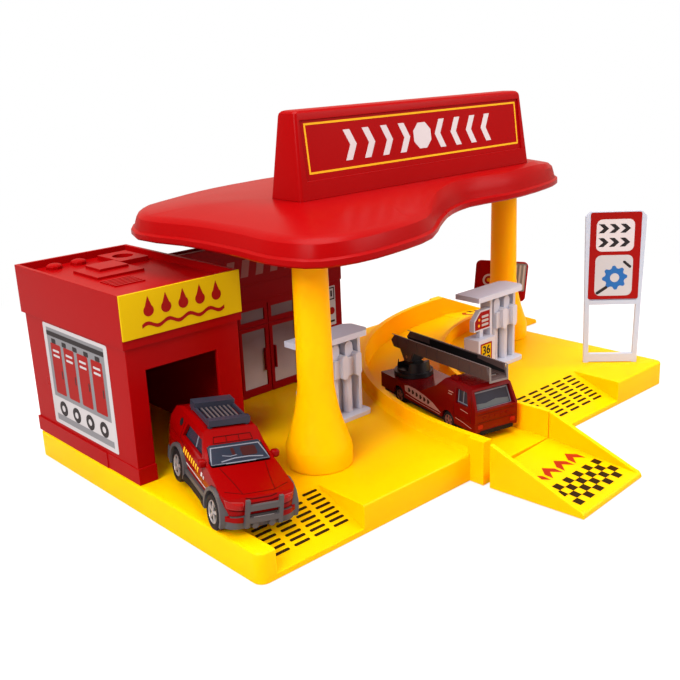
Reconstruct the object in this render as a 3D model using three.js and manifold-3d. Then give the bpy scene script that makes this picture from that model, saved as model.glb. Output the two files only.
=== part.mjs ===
import * as THREE from 'three';
import { mergeVertices } from 'three/addons/utils/BufferGeometryUtils.js';
import Module from 'manifold-3d';

// A toy fire station: a yellow deck with a curved road and two ramps, a red canopy on two
// columns with a sign board on its roof, a wash bay, a shop front, two pump islands, two
// signs, an off-roader and a ladder truck.
// Millimetres, +Z up. x runs along the deck's front edge and y from that edge to the back.

const wasm = await Module();
wasm.setup();

// Clearances, cuts and facets
const overrun = 6;
const seatGap = 0.1;
const slipGap = 0.25;
const turnedGap = 0.3;
const weldDistance = 0.0001;
const arcFacets = 18;
const roundFacets = 24;
const smallFacets = 10;
const cornerFacets = 3;
const quarterTurn = Math.PI / 2;

// Base deck, a moulding open below
const yardLength = 121;
const backMargin = 5.2;
const wallMargin = 1.2;
const deckHeight = 12.4;
const deckCorner = 4;
const deckEdge = 1.2;
const mouldingWall = 1.8;
const ribWall = 1.2;
const ribRise = 4.6;
const ribColumnShares = [0.14, 0.3, 0.86];
const ribRowShares = [0.32, 0.6, 0.86];
const padRadius = 6;
const padShares = [[0.05, 0.27], [0.05, 0.92], [0.6, 0.92], [0.93, 0.1], [0.37, 0.09]];

// Curved road, a quarter ring round the middle of the deck's right edge
const roadCentreSetback = 4.8;
const roadInnerRadius = 118.4;
const roadWidth = 41.6;
const innerKerb = 2.4;
const outerKerb = 3;
const kerbHeight = 20;
const roadHeight = 7.2;
const landingLength = 7.4;
const pilasterWidth = 2.4;
const coveRadius = 3.8;

// Sloped recesses in the deck's front edge
const recessLength = 27.2;
const recessToe = 2.2;
const leftRecessStart = 7.6;
const leftRecessWidth = 44;
const rightRecessSetback = 3;
const rightRecessWidth = 67.2;

// Loose ramps
const rampLength = 44.8;
const rampWall = 2.4;
const rampToeHeight = 2.2;
const rampToeWall = 3.2;
const rampSkewDegrees = 3.5;
const rampToeRadius = 3;
const hookWidth = 6;
const hookLength = 2.6;
const hookThickness = 1.2;
const hookHeight = 3.2;
const hookInset = 8;

// Columns
const leftColumnX = 67.2;
const leftColumnY = 43.2;
const rightColumnInset = 25.2;
const rightColumnDegrees = 100.5;
const columnFootRadius = 14.4;
const columnFootHeight = 8.4;
const columnFlareHeight = 27.2;
const columnShaftRadius = 7.8;
const columnTopRadius = 7.2;
const flareShares = [[0.97, 0.02], [0.5, 0.37], [0.3, 0.55], [0.12, 0.78], [0, 1]];
const spigotRadius = 5;
const spigotDepth = 4.5;
const bossWall = 2;

// Canopy, a thin domed shell open below
const canopyLeftReach = 30.4;
const canopyRightReach = 32.8;
const canopyFrontReach = 33.6;
const canopyBackReach = 87.6;
const canopyRimHeight = 104.8;
const canopyRise = 14.8;
const canopyWall = 1.8;
const rimLip = 3.6;
const rimProud = 1.5;
const sideShare = 0.4;
const shoulderInset = 6;
const crownRise = 4;
const crownReach = 36;
const crownShares = [0.4, 0.86];
const crownMargin = 2;
const canopyDraft = 0.8;
const domeLevels = 4;
const outlineFacets = 60;
const canopyRibShares = [0.25, 0.55, 0.8];
const socketDepth = 9;
const socketSink = 1.5;
const canopyOutlineShares = [
  [0, 0.661], [0.018, 0.459], [0.018, 0.271], [0.012, 0.133], [0.037, 0.032], [0.102, 0],
  [0.191, 0.009], [0.292, 0.046], [0.385, 0.138], [0.48, 0.225], [0.572, 0.271], [0.695, 0.261],
  [0.84, 0.294], [0.923, 0.339], [0.985, 0.427], [1, 0.5], [0.982, 0.593], [0.905, 0.713],
  [0.762, 0.862], [0.628, 0.96], [0.48, 1], [0.358, 0.986], [0.252, 0.95], [0.147, 0.885],
  [0.062, 0.817],
];

// Sign board on the canopy
const boardSetLeft = 49.2;
const boardLength = 163;
const boardSetback = 59.2;
const boardFootDepth = 20.8;
const boardTopDepth = 12;
const boardHeight = 38;
const boardEndDraft = 2.5;
const boardCorner = 1.6;
const boardCrown = 2.4;
const boardWall = 1.8;
const panelMargin = 5;
const panelFoot = 8;
const panelHead = 4.2;
const panelDepth = 0.8;
const tongueWidth = 10;
const tongueThickness = 4;
const tongueDepth = 4;
const tongueShares = [0.12, 0.5, 0.88];

// Wash bay
const bayLeft = 1.2;
const bayWidth = 55.6;
const bayDepth = 90.6;
const bayWall = 1.8;
const doorLeft = 8.4;
const doorWidth = 35.2;
const doorHeight = 48.4;
const plinthHeight = 7.2;
const plinthProud = 0.8;
const plinthSetback = 25;
const pilasterFoot = 10;
const lidWall = 1;
const lidDrop = 17;
const lidPlate = 1.8;
const lidTop = 93.9;
const parapetRise = 3.5;
const parapetWall = 1.6;
const plateThickness = 0.8;
const plateHeight = 18.6;
const platePegRadius = 1.2;
const ventRadius = 3.7;
const ventRise = 2.6;
const ventShares = [[0.25, 0.92], [0.47, 0.92]];
const padStep = 1.1;
const lowPadShares = [0.27, 0.49, 0.69, 0.74];
const highPadShares = [0.39, 0.6, 0.65, 0.75];
const tankPadShares = [0.66, 0.69, 0.93, 0.93];
const tankPadRise = 2.2;
const tankRecessRadius = 5;
const louvreShares = [0.24, 0.29, 0.5, 0.45];
const louvreCount = 6;
const louvreRise = 0.5;

// Shop front beside the bay
const frontSetback = 46.8;
const frontRight = 160.8;
const frontDepth = 8;
const frontTop = 93.6;
const frontWall = 1.6;
const fasciaBottom = 72;
const fasciaProud = 1.6;
const ledgeBottom = 63;
const ledgeProud = 0.8;
const paneWidth = 14.9;
const paneGap = 4.8;
const paneDepth = 0.7;
const doorPaneBottom = 16.5;
const doorPaneTop = 47.3;
const upperPaneBottom = 52.2;
const upperPaneTop = 58.2;
const leafFrame = 2;
const grooveWidth = 0.6;
const handleLength = 12;
const handleBottom = 24.7;
const handleWidth = 0.9;

// Pump islands, two of the same moulding
const islandLength = 40;
const islandDepth = 16;
const islandPlate = 2;
const islandHeight = 42.8;
const islandRoof = 2.8;
const islandCorner = 3;
const leftIslandGap = 7;
const leftIslandDegrees = 158.9;
const rightIslandInset = 7.5;
const rightIslandDegrees = 140.05;
const alcoveLeft = 15;
const alcoveRight = 3;
const alcoveFront = 4.4;
const alcoveWall = 1.8;
const alcoveBack = 11.2;
const cabinetLeft = 1.6;
const cabinetWidth = 12;
const cabinetFront = 1.4;
const cabinetDepth = 10;
const cabinetHeight = 18.8;
const neckWidth = 3;
const neckDepth = 2.6;
const priceSignLeft = 1.4;
const priceSignBottom = 23;
const priceSignHeight = 11;
const priceSignThickness = 3;
const priceSignCut = 5;
const pumpPitch = 8.6;
const pumpSetback = 4.6;
const pumpPostRadius = 2.3;
const holsterBottom = 21.5;
const holsterHeight = 9;
const holsterWidth = 4;
const nozzleWidth = 3.6;
const nozzleHeight = 11.5;
const nozzleDrop = 2.6;
const nozzleThickness = 3.4;
const hoseThickness = 1.4;
const hoseRise = 8.6;

// Workshop sign in a white frame, turned to the front left corner
const frameSetLeft = 29;
const frameY = 32;
const frameTurnDegrees = -47.3;
const frameFootWidth = 28.4;
const frameTopWidth = 31.4;
const frameTopHeight = 82.9;
const framePanelBottom = 32.4;
const frameBarHeight = 4.5;
const framePost = 2.5;
const frameThickness = 2.6;
const framePanelRim = 2.4;
const framePanelDepth = 0.7;

// Small tilted sign behind the right column
const smallSignTurnDegrees = -43;
const smallSignTiltDegrees = 5;
const smallSignWidth = 32;
const smallSignHeight = 25;
const smallSignBottom = 17.5;
const smallSignThickness = 1.6;
const smallSignCorner = 3;
const smallSignPost = 4;

// Tabs that plug the standing pieces into the deck
const tabLength = 6;
const tabDepth = 3;

// Off-roader, measured from its front axle, forward along its own x; it stands on three
// wheels with its left front wheel down on the recess's slope
const suvX = 14.2;
const suvY = 23.6;
const suvHeight = 11.69;
const suvHeadingDegrees = -105.3;
const suvPitchDegrees = 3.51;
const suvRollDegrees = -5.61;
const suvWheelbase = 41.4;
const suvWheelRadius = 7;
const suvWheelWidth = 5;
const suvHalfTrack = 15.5;
const suvFrontOverhang = 10.8;
const suvRearOverhang = 17.8;
const suvBodyBottom = 9.6;
const suvBodyHeight = 20;
const suvHalfWidth = 14.6;
const suvShell = 1.3;
const suvNoseRadius = 6;
const suvArchGap = 1.1;
const suvFlare = 1.4;
const suvFloor = 4.6;
const suvSideShares = [
  [0, 0], [0, 0.2], [0.025, 0.31], [0.31, 0.5], [0.43, 0.72], [0.495, 0.97], [0.6, 1],
  [0.86, 0.98], [0.94, 0.9], [1, 0.46], [1, 0],
];
const suvFrontShares = [[0.96, 0], [1, 0.3], [0.97, 0.46], [0.77, 0.93], [0.66, 1]];
const suvGlassSideShares = [[0.3, 0.5], [0.43, 0.72], [0.5, 0.9], [0.9, 0.91], [0.97, 0.5]];
const suvHollowShares = [[0.04, 0.26], [0.33, 0.52], [0.95, 0.52]];
const suvScreenShares = [[0.87, 0.53], [0.7, 0.74]];
const suvDoorWindowShares = [[0.4, 0.55], [0.475, 0.82], [0.71, 0.82], [0.73, 0.55]];
const suvVentRadius = 1.7;
const suvVentShares = [0.8, 0.74];
const suvRackShares = [0.5, 0.82];
const suvRackHalfWidth = 8.6;
const suvRackRise = 1.6;
const suvRackSlats = 8;
const suvRackRail = 1;
const suvBarRise = 2.6;
const suvBarDepth = 3;
const suvRearBoxRise = 3.4;
const suvRearBoxDepth = 5.4;
const bullHalfWidth = 6.6;
const bullPost = 1.6;
const bullRise = 16.4;
const bullBottom = 5.4;
const bullBarHeight = 2.2;
const bullReach = 1.8;
const lampRadius = 1.3;

// Ladder truck, measured from its front axle, forward along its own x
const truckFromKerb = 13.9;
const truckPlaceDegrees = 168.89;
const truckHeadingDegrees = -103;
const truckWheelbase = 41.8;
const truckWheelRadius = 4.4;
const truckWheelWidth = 3.6;
const truckHalfTrack = 11.9;
const truckFrontOverhang = 21.2;
const truckRearOverhang = 16.7;
const truckBodyBottom = 4.7;
const truckBodyHeight = 20.9;
const truckHalfWidth = 12.2;
const truckShell = 1.3;
const truckArchGap = 0.8;
const truckFloor = 2.6;
const truckSideShares = [
  [0, 0], [0, 0.52], [0.05, 0.95], [0.075, 1], [0.3, 0.965], [0.385, 0.7], [0.545, 0.378],
  [1, 0.378], [1, 0],
];
const truckFrontShares = [[1, 0], [1, 0.5], [0.92, 0.93], [0.84, 1]];
const truckGlassShares = [[0.025, 0.46], [0.065, 0.92], [0.21, 0.92], [0.21, 0.46]];
const truckHollowShares = [[0.02, 0.47], [0.31, 0.47], [0.37, 0.3], [0.98, 0.3]];
const truckCabShares = [0.1, 0.28, 0.86];
const truckScreenShares = [[0.9, 0.49], [0.82, 0.9]];
const truckDoorWindowShares = [[0.07, 0.52], [0.09, 0.85], [0.19, 0.85], [0.19, 0.52]];
const turntableBehindAxle = 4.2;
const turntableRadius = 10.2;
const turntablePlate = 2.4;
const drumRadius = 8.8;
const drumHeight = 5;
const lugWidth = 6;
const lugLength = 5.6;
const pivotRise = 4.4;
const pivotRadius = 0.8;
const pivotFit = 0.06;
const journalRadius = 4;
const journalDepth = 3;
const ladderLength = 81;
const ladderRear = 12.2;
const ladderHalfWidth = 5.4;
const ladderWall = 1;
const ladderRail = 6.4;
const ladderLift = 3.8;
const ladderPitchDegrees = 2.4;
const ladderLegLength = 5;
const ladderGussetLength = 13;
const rungCount = 12;
const rungWidth = 1.6;

// Wheels and axles of both cars
const axleRadius = 0.9;
const axleFit = 0.06;
const hubShare = 0.66;
const hubDish = 0.9;
const wheelFacets = 16;
const axleInset = 1.2;
const wheelGroundGap = 0.3;

// Colours, roughness and metalness of what the pieces are made of
const finishes = {
  yellowPlastic: [0xffd400, 0.42, 0],
  redPlastic: [0xc4101a, 0.38, 0],
  darkRedPlastic: [0x8e1420, 0.45, 0],
  lilacPlastic: [0xe0d4dc, 0.4, 0],
  whitePlastic: [0xf2f3f4, 0.4, 0],
  redEnamel: [0xb80d10, 0.22, 0.3],
  darkRedEnamel: [0x7c1218, 0.22, 0.3],
  greyPlastic: [0x7d7f80, 0.45, 0],
  smokedPlastic: [0x39434c, 0.12, 0],
  blackPlastic: [0x17181a, 0.5, 0],
  brownGreyPlastic: [0x6b5a58, 0.42, 0],
  steel: [0xb4b6b9, 0.3, 1],
};

const radians = THREE.MathUtils.degToRad;
const roadOuterRadius = roadInnerRadius + roadWidth;
const deckLength = yardLength + roadOuterRadius;
const deckDepth = roadCentreSetback + roadOuterRadius + outerKerb + backMargin;
const roadCentreX = deckLength;
const landingOuterX = roadCentreX - roadOuterRadius - outerKerb - pilasterWidth;
const landingInnerX = roadCentreX - roadInnerRadius + innerKerb;
const rampWidth = landingInnerX - landingOuterX;
const deckUnderside = deckHeight - mouldingWall;

// A place at an angle round the road's centre, a given way out from its inner kerb line
function besideRoad(outwards, degrees) {
  const radius = roadInnerRadius + outwards;
  const turn = radians(degrees);
  return [roadCentreX + radius * Math.cos(turn), roadCentreSetback + radius * Math.sin(turn)];
}

// Where the pieces stand, from the road and from each other
const [rightColumnX, rightColumnY] = besideRoad(-rightColumnInset, rightColumnDegrees);
const [rightIslandX, rightIslandBack] = besideRoad(-rightIslandInset, rightIslandDegrees);
const rightIslandY = rightIslandBack - islandDepth;
const leftIslandOutwards = roadWidth + outerKerb + leftIslandGap;
const [leftIslandRight, leftIslandY] = besideRoad(leftIslandOutwards, leftIslandDegrees);
const leftIslandX = leftIslandRight - islandLength;
const [truckX, truckY] = besideRoad(truckFromKerb, truckPlaceDegrees);
const canopyLeft = leftColumnX - canopyLeftReach;
const canopyFront = leftColumnY - canopyFrontReach;
const canopyLength = rightColumnX + canopyRightReach - canopyLeft;
const canopyDepth = rightColumnY + canopyBackReach - canopyFront;
const canopyTopHeight = canopyRimHeight + canopyRise;
const socketTop = canopyTopHeight - canopyWall - socketSink;
const boardLeft = canopyLeft + boardSetLeft;
const boardFront = canopyFront + boardSetback;
const bayFront = deckDepth - wallMargin - bayDepth;
const frontPlane = bayFront + frontSetback;
const frameX = deckLength - frameSetLeft;
const suvLength = suvFrontOverhang + suvWheelbase + suvRearOverhang;
const truckLength = truckFrontOverhang + truckWheelbase + truckRearOverhang;
const turntableSetback = truckWheelbase + turntableBehindAxle;
const smallSignReach = columnFootRadius + smallSignThickness / 2 + seatGap;
const smallSignX = rightColumnX - smallSignReach * Math.sin(radians(smallSignTurnDegrees));
const smallSignY = rightColumnY + smallSignReach * Math.cos(radians(smallSignTurnDegrees));

// Turns a closed geometry into a solid that can be joined and cut
function solidOf(geometry) {
  geometry.deleteAttribute('normal');
  geometry.deleteAttribute('uv');
  const merged = mergeVertices(geometry, weldDistance);
  const corners = [];
  for (let first = 0; first < merged.index.count; first += 3) {
    const [a, b, c] = [0, 1, 2].map((step) => merged.index.getX(first + step));
    if (a !== b && b !== c && c !== a) corners.push(a, b, c);
  }
  return new wasm.Manifold(new wasm.Mesh({
    numProp: 3,
    vertProperties: new Float32Array(merged.attributes.position.array),
    triVerts: new Uint32Array(corners),
  }));
}

// Turns a solid back into a geometry for a mesh
function geometryOf(solid) {
  const { vertProperties, triVerts } = solid.getMesh();
  const geometry = new THREE.BufferGeometry();
  geometry.setAttribute('position', new THREE.BufferAttribute(vertProperties, 3));
  geometry.setIndex(new THREE.BufferAttribute(triVerts, 1));
  geometry.computeVertexNormals();
  return geometry;
}

function joined(solids) {
  return solids.reduce((whole, solid) => whole.add(solid));
}

// A rectangular block between two corners
function block([x0, y0, z0], [x1, y1, z1]) {
  const geometry = new THREE.BoxGeometry(x1 - x0, y1 - y0, z1 - z0);
  geometry.translate((x0 + x1) / 2, (y0 + y1) / 2, (z0 + z1) / 2);
  return solidOf(geometry);
}

// A flat outline raised from one height to another
function slab(shape, bottom, top, curveSegments = cornerFacets) {
  const settings = { depth: top - bottom, bevelEnabled: false, curveSegments };
  const geometry = new THREE.ExtrudeGeometry(shape, settings);
  geometry.translate(0, 0, bottom);
  return solidOf(geometry);
}

// The same with its upper and lower edges rounded
function softSlab(shape, bottom, top, edge) {
  const geometry = new THREE.ExtrudeGeometry(shape, {
    depth: top - bottom - 2 * edge,
    bevelSize: edge,
    bevelOffset: -edge,
    bevelThickness: edge,
    bevelSegments: cornerFacets,
    curveSegments: cornerFacets,
  });
  geometry.translate(0, 0, bottom + edge);
  return solidOf(geometry);
}

function outline(points) {
  return new THREE.Shape(points.map(([across, up]) => new THREE.Vector2(across, up)));
}

// A profile drawn in y and z, carried along x
function prismAlongX(points, start, end) {
  const settings = { depth: end - start, bevelEnabled: false };
  const geometry = new THREE.ExtrudeGeometry(outline(points), settings);
  const x = new THREE.Vector3(0, 1, 0);
  const y = new THREE.Vector3(0, 0, 1);
  const z = new THREE.Vector3(1, 0, 0);
  geometry.applyMatrix4(new THREE.Matrix4().makeBasis(x, y, z));
  geometry.translate(start, 0, 0);
  return solidOf(geometry);
}

// A profile drawn in x and z, carried along y
function prismAlongY(points, start, end) {
  const settings = { depth: end - start, bevelEnabled: false };
  const geometry = new THREE.ExtrudeGeometry(outline(points), settings);
  geometry.rotateX(quarterTurn);
  geometry.translate(0, end, 0);
  return solidOf(geometry);
}

// A profile of radius and height turned round the z axis
function turned(profile, facets) {
  const points = profile.map(([radius, height]) => new THREE.Vector2(radius, height));
  const geometry = new THREE.LatheGeometry(points, facets);
  geometry.rotateX(quarterTurn);
  return geometry;
}

function rod(x, y, radius, bottom, top, facets = smallFacets) {
  const geometry = turned([[0, bottom], [radius, bottom], [radius, top], [0, top]], facets);
  geometry.translate(x, y, 0);
  return solidOf(geometry);
}

// A rod along y, from one side to the other
function crossRod(x, z, radius, start, end, facets = smallFacets) {
  const geometry = turned([[0, start], [radius, start], [radius, end], [0, end]], facets);
  geometry.rotateX(-quarterTurn);
  geometry.translate(x, 0, z);
  return solidOf(geometry);
}

function roundedRectangle(left, front, right, back, corner) {
  const shape = new THREE.Shape();
  shape.moveTo(left + corner, front);
  shape.lineTo(right - corner, front);
  shape.absarc(right - corner, front + corner, corner, -quarterTurn, 0, false);
  shape.lineTo(right, back - corner);
  shape.absarc(right - corner, back - corner, corner, 0, quarterTurn, false);
  shape.lineTo(left + corner, back);
  shape.absarc(left + corner, back - corner, corner, quarterTurn, Math.PI, false);
  shape.lineTo(left, front + corner);
  shape.absarc(left + corner, front + corner, corner, Math.PI, 3 * quarterTurn, false);
  return shape;
}

// A closed body through rings of as many points each, from the lowest ring to the highest
function loft(rings) {
  const count = rings[0].length;
  const positions = rings.flat().flatMap((point) => [point.x, point.y, point.z]);
  const faces = [];
  for (let level = 0; level < rings.length - 1; level += 1) {
    for (let place = 0; place < count; place += 1) {
      const next = (place + 1) % count;
      const low = level * count;
      const high = low + count;
      faces.push(low + place, low + next, high + next);
      faces.push(low + place, high + next, high + place);
    }
  }
  const top = (rings.length - 1) * count;
  const flat = (ring) => ring.map((point) => new THREE.Vector2(point.x, point.y));
  for (const [a, b, c] of THREE.ShapeUtils.triangulateShape(flat(rings[0]), [])) faces.push(a, c, b);
  for (const [a, b, c] of THREE.ShapeUtils.triangulateShape(flat(rings.at(-1)), [])) {
    faces.push(top + a, top + b, top + c);
  }
  const geometry = new THREE.BufferGeometry();
  geometry.setAttribute('position', new THREE.Float32BufferAttribute(positions, 3));
  geometry.setIndex(faces);
  return solidOf(geometry);
}

// Tabs under the standing pieces, and the deck's slots for them
function tab(x, y, lengthX, lengthY, turnDegrees = 0) {
  return { x, y, lengthX, lengthY, turn: radians(turnDegrees) };
}

function tabSolid({ x, y, lengthX, lengthY, turn }, bottom, top, grow) {
  const width = lengthX + 2 * grow;
  const depth = lengthY + 2 * grow;
  const geometry = new THREE.BoxGeometry(width, depth, top - bottom);
  geometry.rotateZ(turn);
  geometry.translate(x, y, (top + bottom) / 2);
  return solidOf(geometry);
}

// Where a place in a turned piece's own frame lies on the deck
function turnedPlace(originX, originY, turnDegrees, along) {
  const turn = radians(turnDegrees);
  return [originX + along * Math.cos(turn), originY + along * Math.sin(turn)];
}

const bayRight = bayLeft + bayWidth;
const bayBack = bayFront + bayDepth;
const frontLeft = bayRight + lidWall + slipGap + seatGap;
const frontCentre = (frontLeft + frontRight) / 2;

function bayTabs() {
  const sideY = bayFront + bayDepth / 2;
  const centreX = bayLeft + bayWidth / 2;
  return [
    tab(bayLeft + bayWall / 2, sideY, bayWall, tabLength),
    tab(bayRight - bayWall / 2, sideY, bayWall, tabLength),
    tab(centreX, bayBack - bayWall / 2, tabLength, bayWall),
  ];
}

function frontTabs() {
  const y = frontPlane + frontWall / 2;
  return [-1, 1].map((side) => tab(frontCentre + side * 3 * tabLength, y, tabLength, frontWall));
}

function islandTabs(x, y) {
  const places = [islandCorner + tabLength / 2, islandLength - islandCorner - tabLength / 2];
  return places.map((along) => tab(x + along, y + islandDepth / 2, tabLength, alcoveWall));
}

function frameTabs() {
  return [framePost / 2, frameFootWidth - framePost / 2].map((along) => {
    const [x, y] = turnedPlace(frameX, frameY, frameTurnDegrees, along);
    return tab(x, y, framePost, frameThickness, frameTurnDegrees);
  });
}

function smallSignTab() {
  return tab(smallSignX, smallSignY, smallSignPost, smallSignThickness, smallSignTurnDegrees);
}

// The road's plan between two radii, run out straight over both landings
function roadBand(innerRadius, outerRadius, frontEnd, sideEnd) {
  const shape = new THREE.Shape();
  shape.moveTo(roadCentreX - outerRadius, frontEnd);
  shape.lineTo(roadCentreX - outerRadius, roadCentreSetback);
  shape.absarc(roadCentreX, roadCentreSetback, outerRadius, Math.PI, quarterTurn, true);
  shape.lineTo(sideEnd, roadCentreSetback + outerRadius);
  shape.lineTo(sideEnd, roadCentreSetback + innerRadius);
  shape.lineTo(roadCentreX, roadCentreSetback + innerRadius);
  shape.absarc(roadCentreX, roadCentreSetback, innerRadius, quarterTurn, Math.PI, false);
  shape.lineTo(roadCentreX - innerRadius, frontEnd);
  return shape;
}

// The concave fillet at the foot of the road's outer kerb
function roadCove() {
  const footRadius = roadOuterRadius + outerKerb;
  const reach = footRadius + coveRadius;
  const top = deckHeight + coveRadius;
  const profile = [
    [footRadius - outerKerb / 2, deckUnderside],
    [reach, deckUnderside],
    [reach, deckHeight],
  ];
  for (let step = 1; step <= cornerFacets; step += 1) {
    const angle = quarterTurn * (step / cornerFacets);
    profile.push([reach - coveRadius * Math.sin(angle), top - coveRadius * Math.cos(angle)]);
  }
  profile.push([footRadius - outerKerb / 2, top]);
  profile.push(profile[0]);
  const geometry = turned(profile, 4 * arcFacets);
  geometry.translate(roadCentreX, roadCentreSetback, 0);
  const deck = block([0, 0, deckUnderside], [deckLength, deckDepth, top + overrun]);
  return solidOf(geometry).intersect(deck);
}

function recessFall() {
  return (deckHeight - recessToe) / recessLength;
}

// A recess's cut, lowered and widened by a margin to leave the moulding's wall round it
function recessCut(start, width, margin) {
  const fall = recessFall();
  const heightAt = (y) => recessToe + fall * y - margin;
  const ahead = -overrun;
  const behind = recessLength + overrun;
  const points = [[ahead, heightAt(ahead)], [behind, heightAt(behind)], [behind, deckHeight + 2 * overrun],
    [ahead, deckHeight + 2 * overrun]];
  return prismAlongX(points, start - margin, start + width + margin);
}

// Wall and floor of a recess, kept solid while the deck is hollowed
function recessShell(start, width) {
  const reach = recessLength + mouldingWall / recessFall();
  const room = block([start - mouldingWall, 0, 0], [start + width + mouldingWall, reach, deckHeight]);
  return room.intersect(recessCut(start, width, mouldingWall));
}

function rightRecessStart() {
  return landingInnerX + rightRecessSetback;
}

// Slots in a landing's skirt that take a ramp's two hooks, drawn for the front landing
function hookSlots() {
  const centres = [landingOuterX + hookInset, landingInnerX - hookInset];
  const bottom = hookHeight - slipGap;
  const top = hookHeight + hookThickness + slipGap;
  const half = hookWidth / 2 + 2 * slipGap;
  const front = -landingLength - overrun;
  const back = -landingLength + mouldingWall + overrun;
  return joined(centres.map((x) => block([x - half, front, bottom], [x + half, back, top])));
}

// Turns something drawn at the front landing round to the side landing
function mirroredToSide(solid) {
  const swapped = solid.getMesh();
  const geometry = new THREE.BufferGeometry();
  const points = new Float32Array(swapped.vertProperties);
  for (let first = 0; first < points.length; first += 3) {
    const fromCentreX = roadCentreX - points[first];
    const fromCentreY = roadCentreSetback - points[first + 1];
    points[first] = roadCentreX + fromCentreY - roadCentreSetback;
    points[first + 1] = roadCentreSetback + fromCentreX;
  }
  const faces = new Uint32Array(swapped.triVerts);
  geometry.setAttribute('position', new THREE.BufferAttribute(points, 3));
  geometry.setIndex(new THREE.BufferAttribute(faces.reverse(), 1));
  return solidOf(geometry);
}

function deckRibs(kept) {
  const bottom = deckHeight - mouldingWall - ribRise;
  const top = deckHeight - mouldingWall / 2;
  const columns = ribColumnShares.map((share) => {
    const x = share * deckLength;
    return block([x, mouldingWall / 2, bottom], [x + ribWall, deckDepth - mouldingWall / 2, top]);
  });
  const rows = ribRowShares.map((share) => {
    const y = share * deckDepth;
    return block([mouldingWall / 2, y, bottom], [deckLength - mouldingWall / 2, y + ribWall, top]);
  });
  return joined([...columns, ...rows]).subtract(kept);
}

function baseDeck() {
  const sideEnd = deckLength + landingLength;
  const rightStart = rightRecessStart();
  const plan = roundedRectangle(0, 0, deckLength, deckDepth, deckCorner);
  const ground = block([-overrun, -overrun, -overrun], [deckLength + overrun, deckDepth + overrun, 0]);
  const plate = softSlab(plan, -2 * deckEdge, deckHeight, deckEdge).subtract(ground);
  const band = slab(
    roadBand(roadInnerRadius - innerKerb, roadOuterRadius + outerKerb, -landingLength, sideEnd),
    0,
    kerbHeight,
    arcFacets,
  );
  const pilaster = block(
    [landingOuterX, -landingLength, 0],
    [landingOuterX + pilasterWidth + outerKerb / 2, deckEdge, kerbHeight],
  );
  const road = slab(
    roadBand(roadInnerRadius, roadOuterRadius, -landingLength - overrun, sideEnd + overrun),
    roadHeight,
    kerbHeight + overrun,
    arcFacets,
  );
  const roadHollow = slab(
    roadBand(
      roadInnerRadius - innerKerb + mouldingWall,
      roadOuterRadius + outerKerb - mouldingWall,
      -landingLength + mouldingWall,
      sideEnd - mouldingWall,
    ),
    -overrun,
    roadHeight - mouldingWall,
    arcFacets,
  );
  const kept = joined([
    band,
    recessShell(leftRecessStart, leftRecessWidth),
    recessShell(rightStart, rightRecessWidth),
  ]);
  const inner = roundedRectangle(
    mouldingWall,
    mouldingWall,
    deckLength - mouldingWall,
    deckDepth - mouldingWall,
    deckCorner - mouldingWall,
  );
  const hollow = slab(inner, -overrun, deckUnderside).subtract(kept);
  const columns = [[leftColumnX, leftColumnY], [rightColumnX, rightColumnY]];
  const bosses = columns.map(([x, y]) => {
    const radius = spigotRadius + slipGap + bossWall;
    return rod(x, y, radius, deckHeight - spigotDepth - bossWall, deckHeight - mouldingWall / 2);
  });
  const pads = padShares.map(([along, back]) => {
    return rod(along * deckLength, back * deckDepth, padRadius, 0, deckHeight - mouldingWall / 2);
  });
  const spigotHoles = columns.map(([x, y]) => {
    return rod(x, y, spigotRadius + slipGap, -overrun, deckHeight + overrun, roundFacets);
  });
  const tabs = [
    ...bayTabs(),
    ...frontTabs(),
    ...islandTabs(leftIslandX, leftIslandY),
    ...islandTabs(rightIslandX, rightIslandY),
    ...frameTabs(),
    smallSignTab(),
  ];
  const tabSlots = tabs.map((place) => tabSolid(place, -overrun, deckHeight + overrun, slipGap));
  const hooks = hookSlots();
  return joined([plate, band, pilaster, mirroredToSide(pilaster), roadCove()])
    .subtract(hollow)
    .add(joined([deckRibs(kept), ...bosses, ...pads]))
    .subtract(roadHollow)
    .subtract(road)
    .subtract(recessCut(leftRecessStart, leftRecessWidth, 0))
    .subtract(recessCut(rightStart, rightRecessWidth, 0))
    .subtract(joined([...spigotHoles, ...tabSlots, hooks, mirroredToSide(hooks)]));
}

// A ramp that hooks on to a landing: back edge on y = 0, toe towards -y
function ramp() {
  const fall = (roadHeight - rampToeHeight) / rampLength;
  const roadAt = (y) => roadHeight + fall * y;
  const wallTop = kerbHeight;
  const toe = -rampLength;
  const side = [[0, 0], [0, wallTop]];
  for (let step = 0; step <= cornerFacets; step += 1) {
    const angle = quarterTurn * (step / cornerFacets);
    const y = toe + rampToeRadius - rampToeRadius * Math.sin(angle);
    side.push([y, rampToeWall - rampToeRadius + rampToeRadius * Math.cos(angle)]);
  }
  side.push([toe, 0]);
  const surface = [
    [overrun, roadAt(overrun)],
    [overrun, wallTop + overrun],
    [toe - overrun, wallTop + overrun],
    [toe - overrun, roadAt(toe - overrun)],
  ];
  const hollowEnd = toe + 3 * mouldingWall;
  const hollow = [
    [-mouldingWall, -overrun],
    [-mouldingWall, roadAt(-mouldingWall) - mouldingWall],
    [hollowEnd, roadAt(hollowEnd) - mouldingWall],
    [hollowEnd, -overrun],
  ];
  const hooks = [hookInset, rampWidth - hookInset].map((x) => block(
    [x - hookWidth / 2, -mouldingWall, hookHeight],
    [x + hookWidth / 2, hookLength, hookHeight + hookThickness],
  ));
  return prismAlongX(side, 0, rampWidth)
    .subtract(prismAlongX(surface, rampWall, rampWidth - rampWall))
    .subtract(prismAlongX(hollow, mouldingWall, rampWidth - mouldingWall))
    .add(joined(hooks));
}

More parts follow.
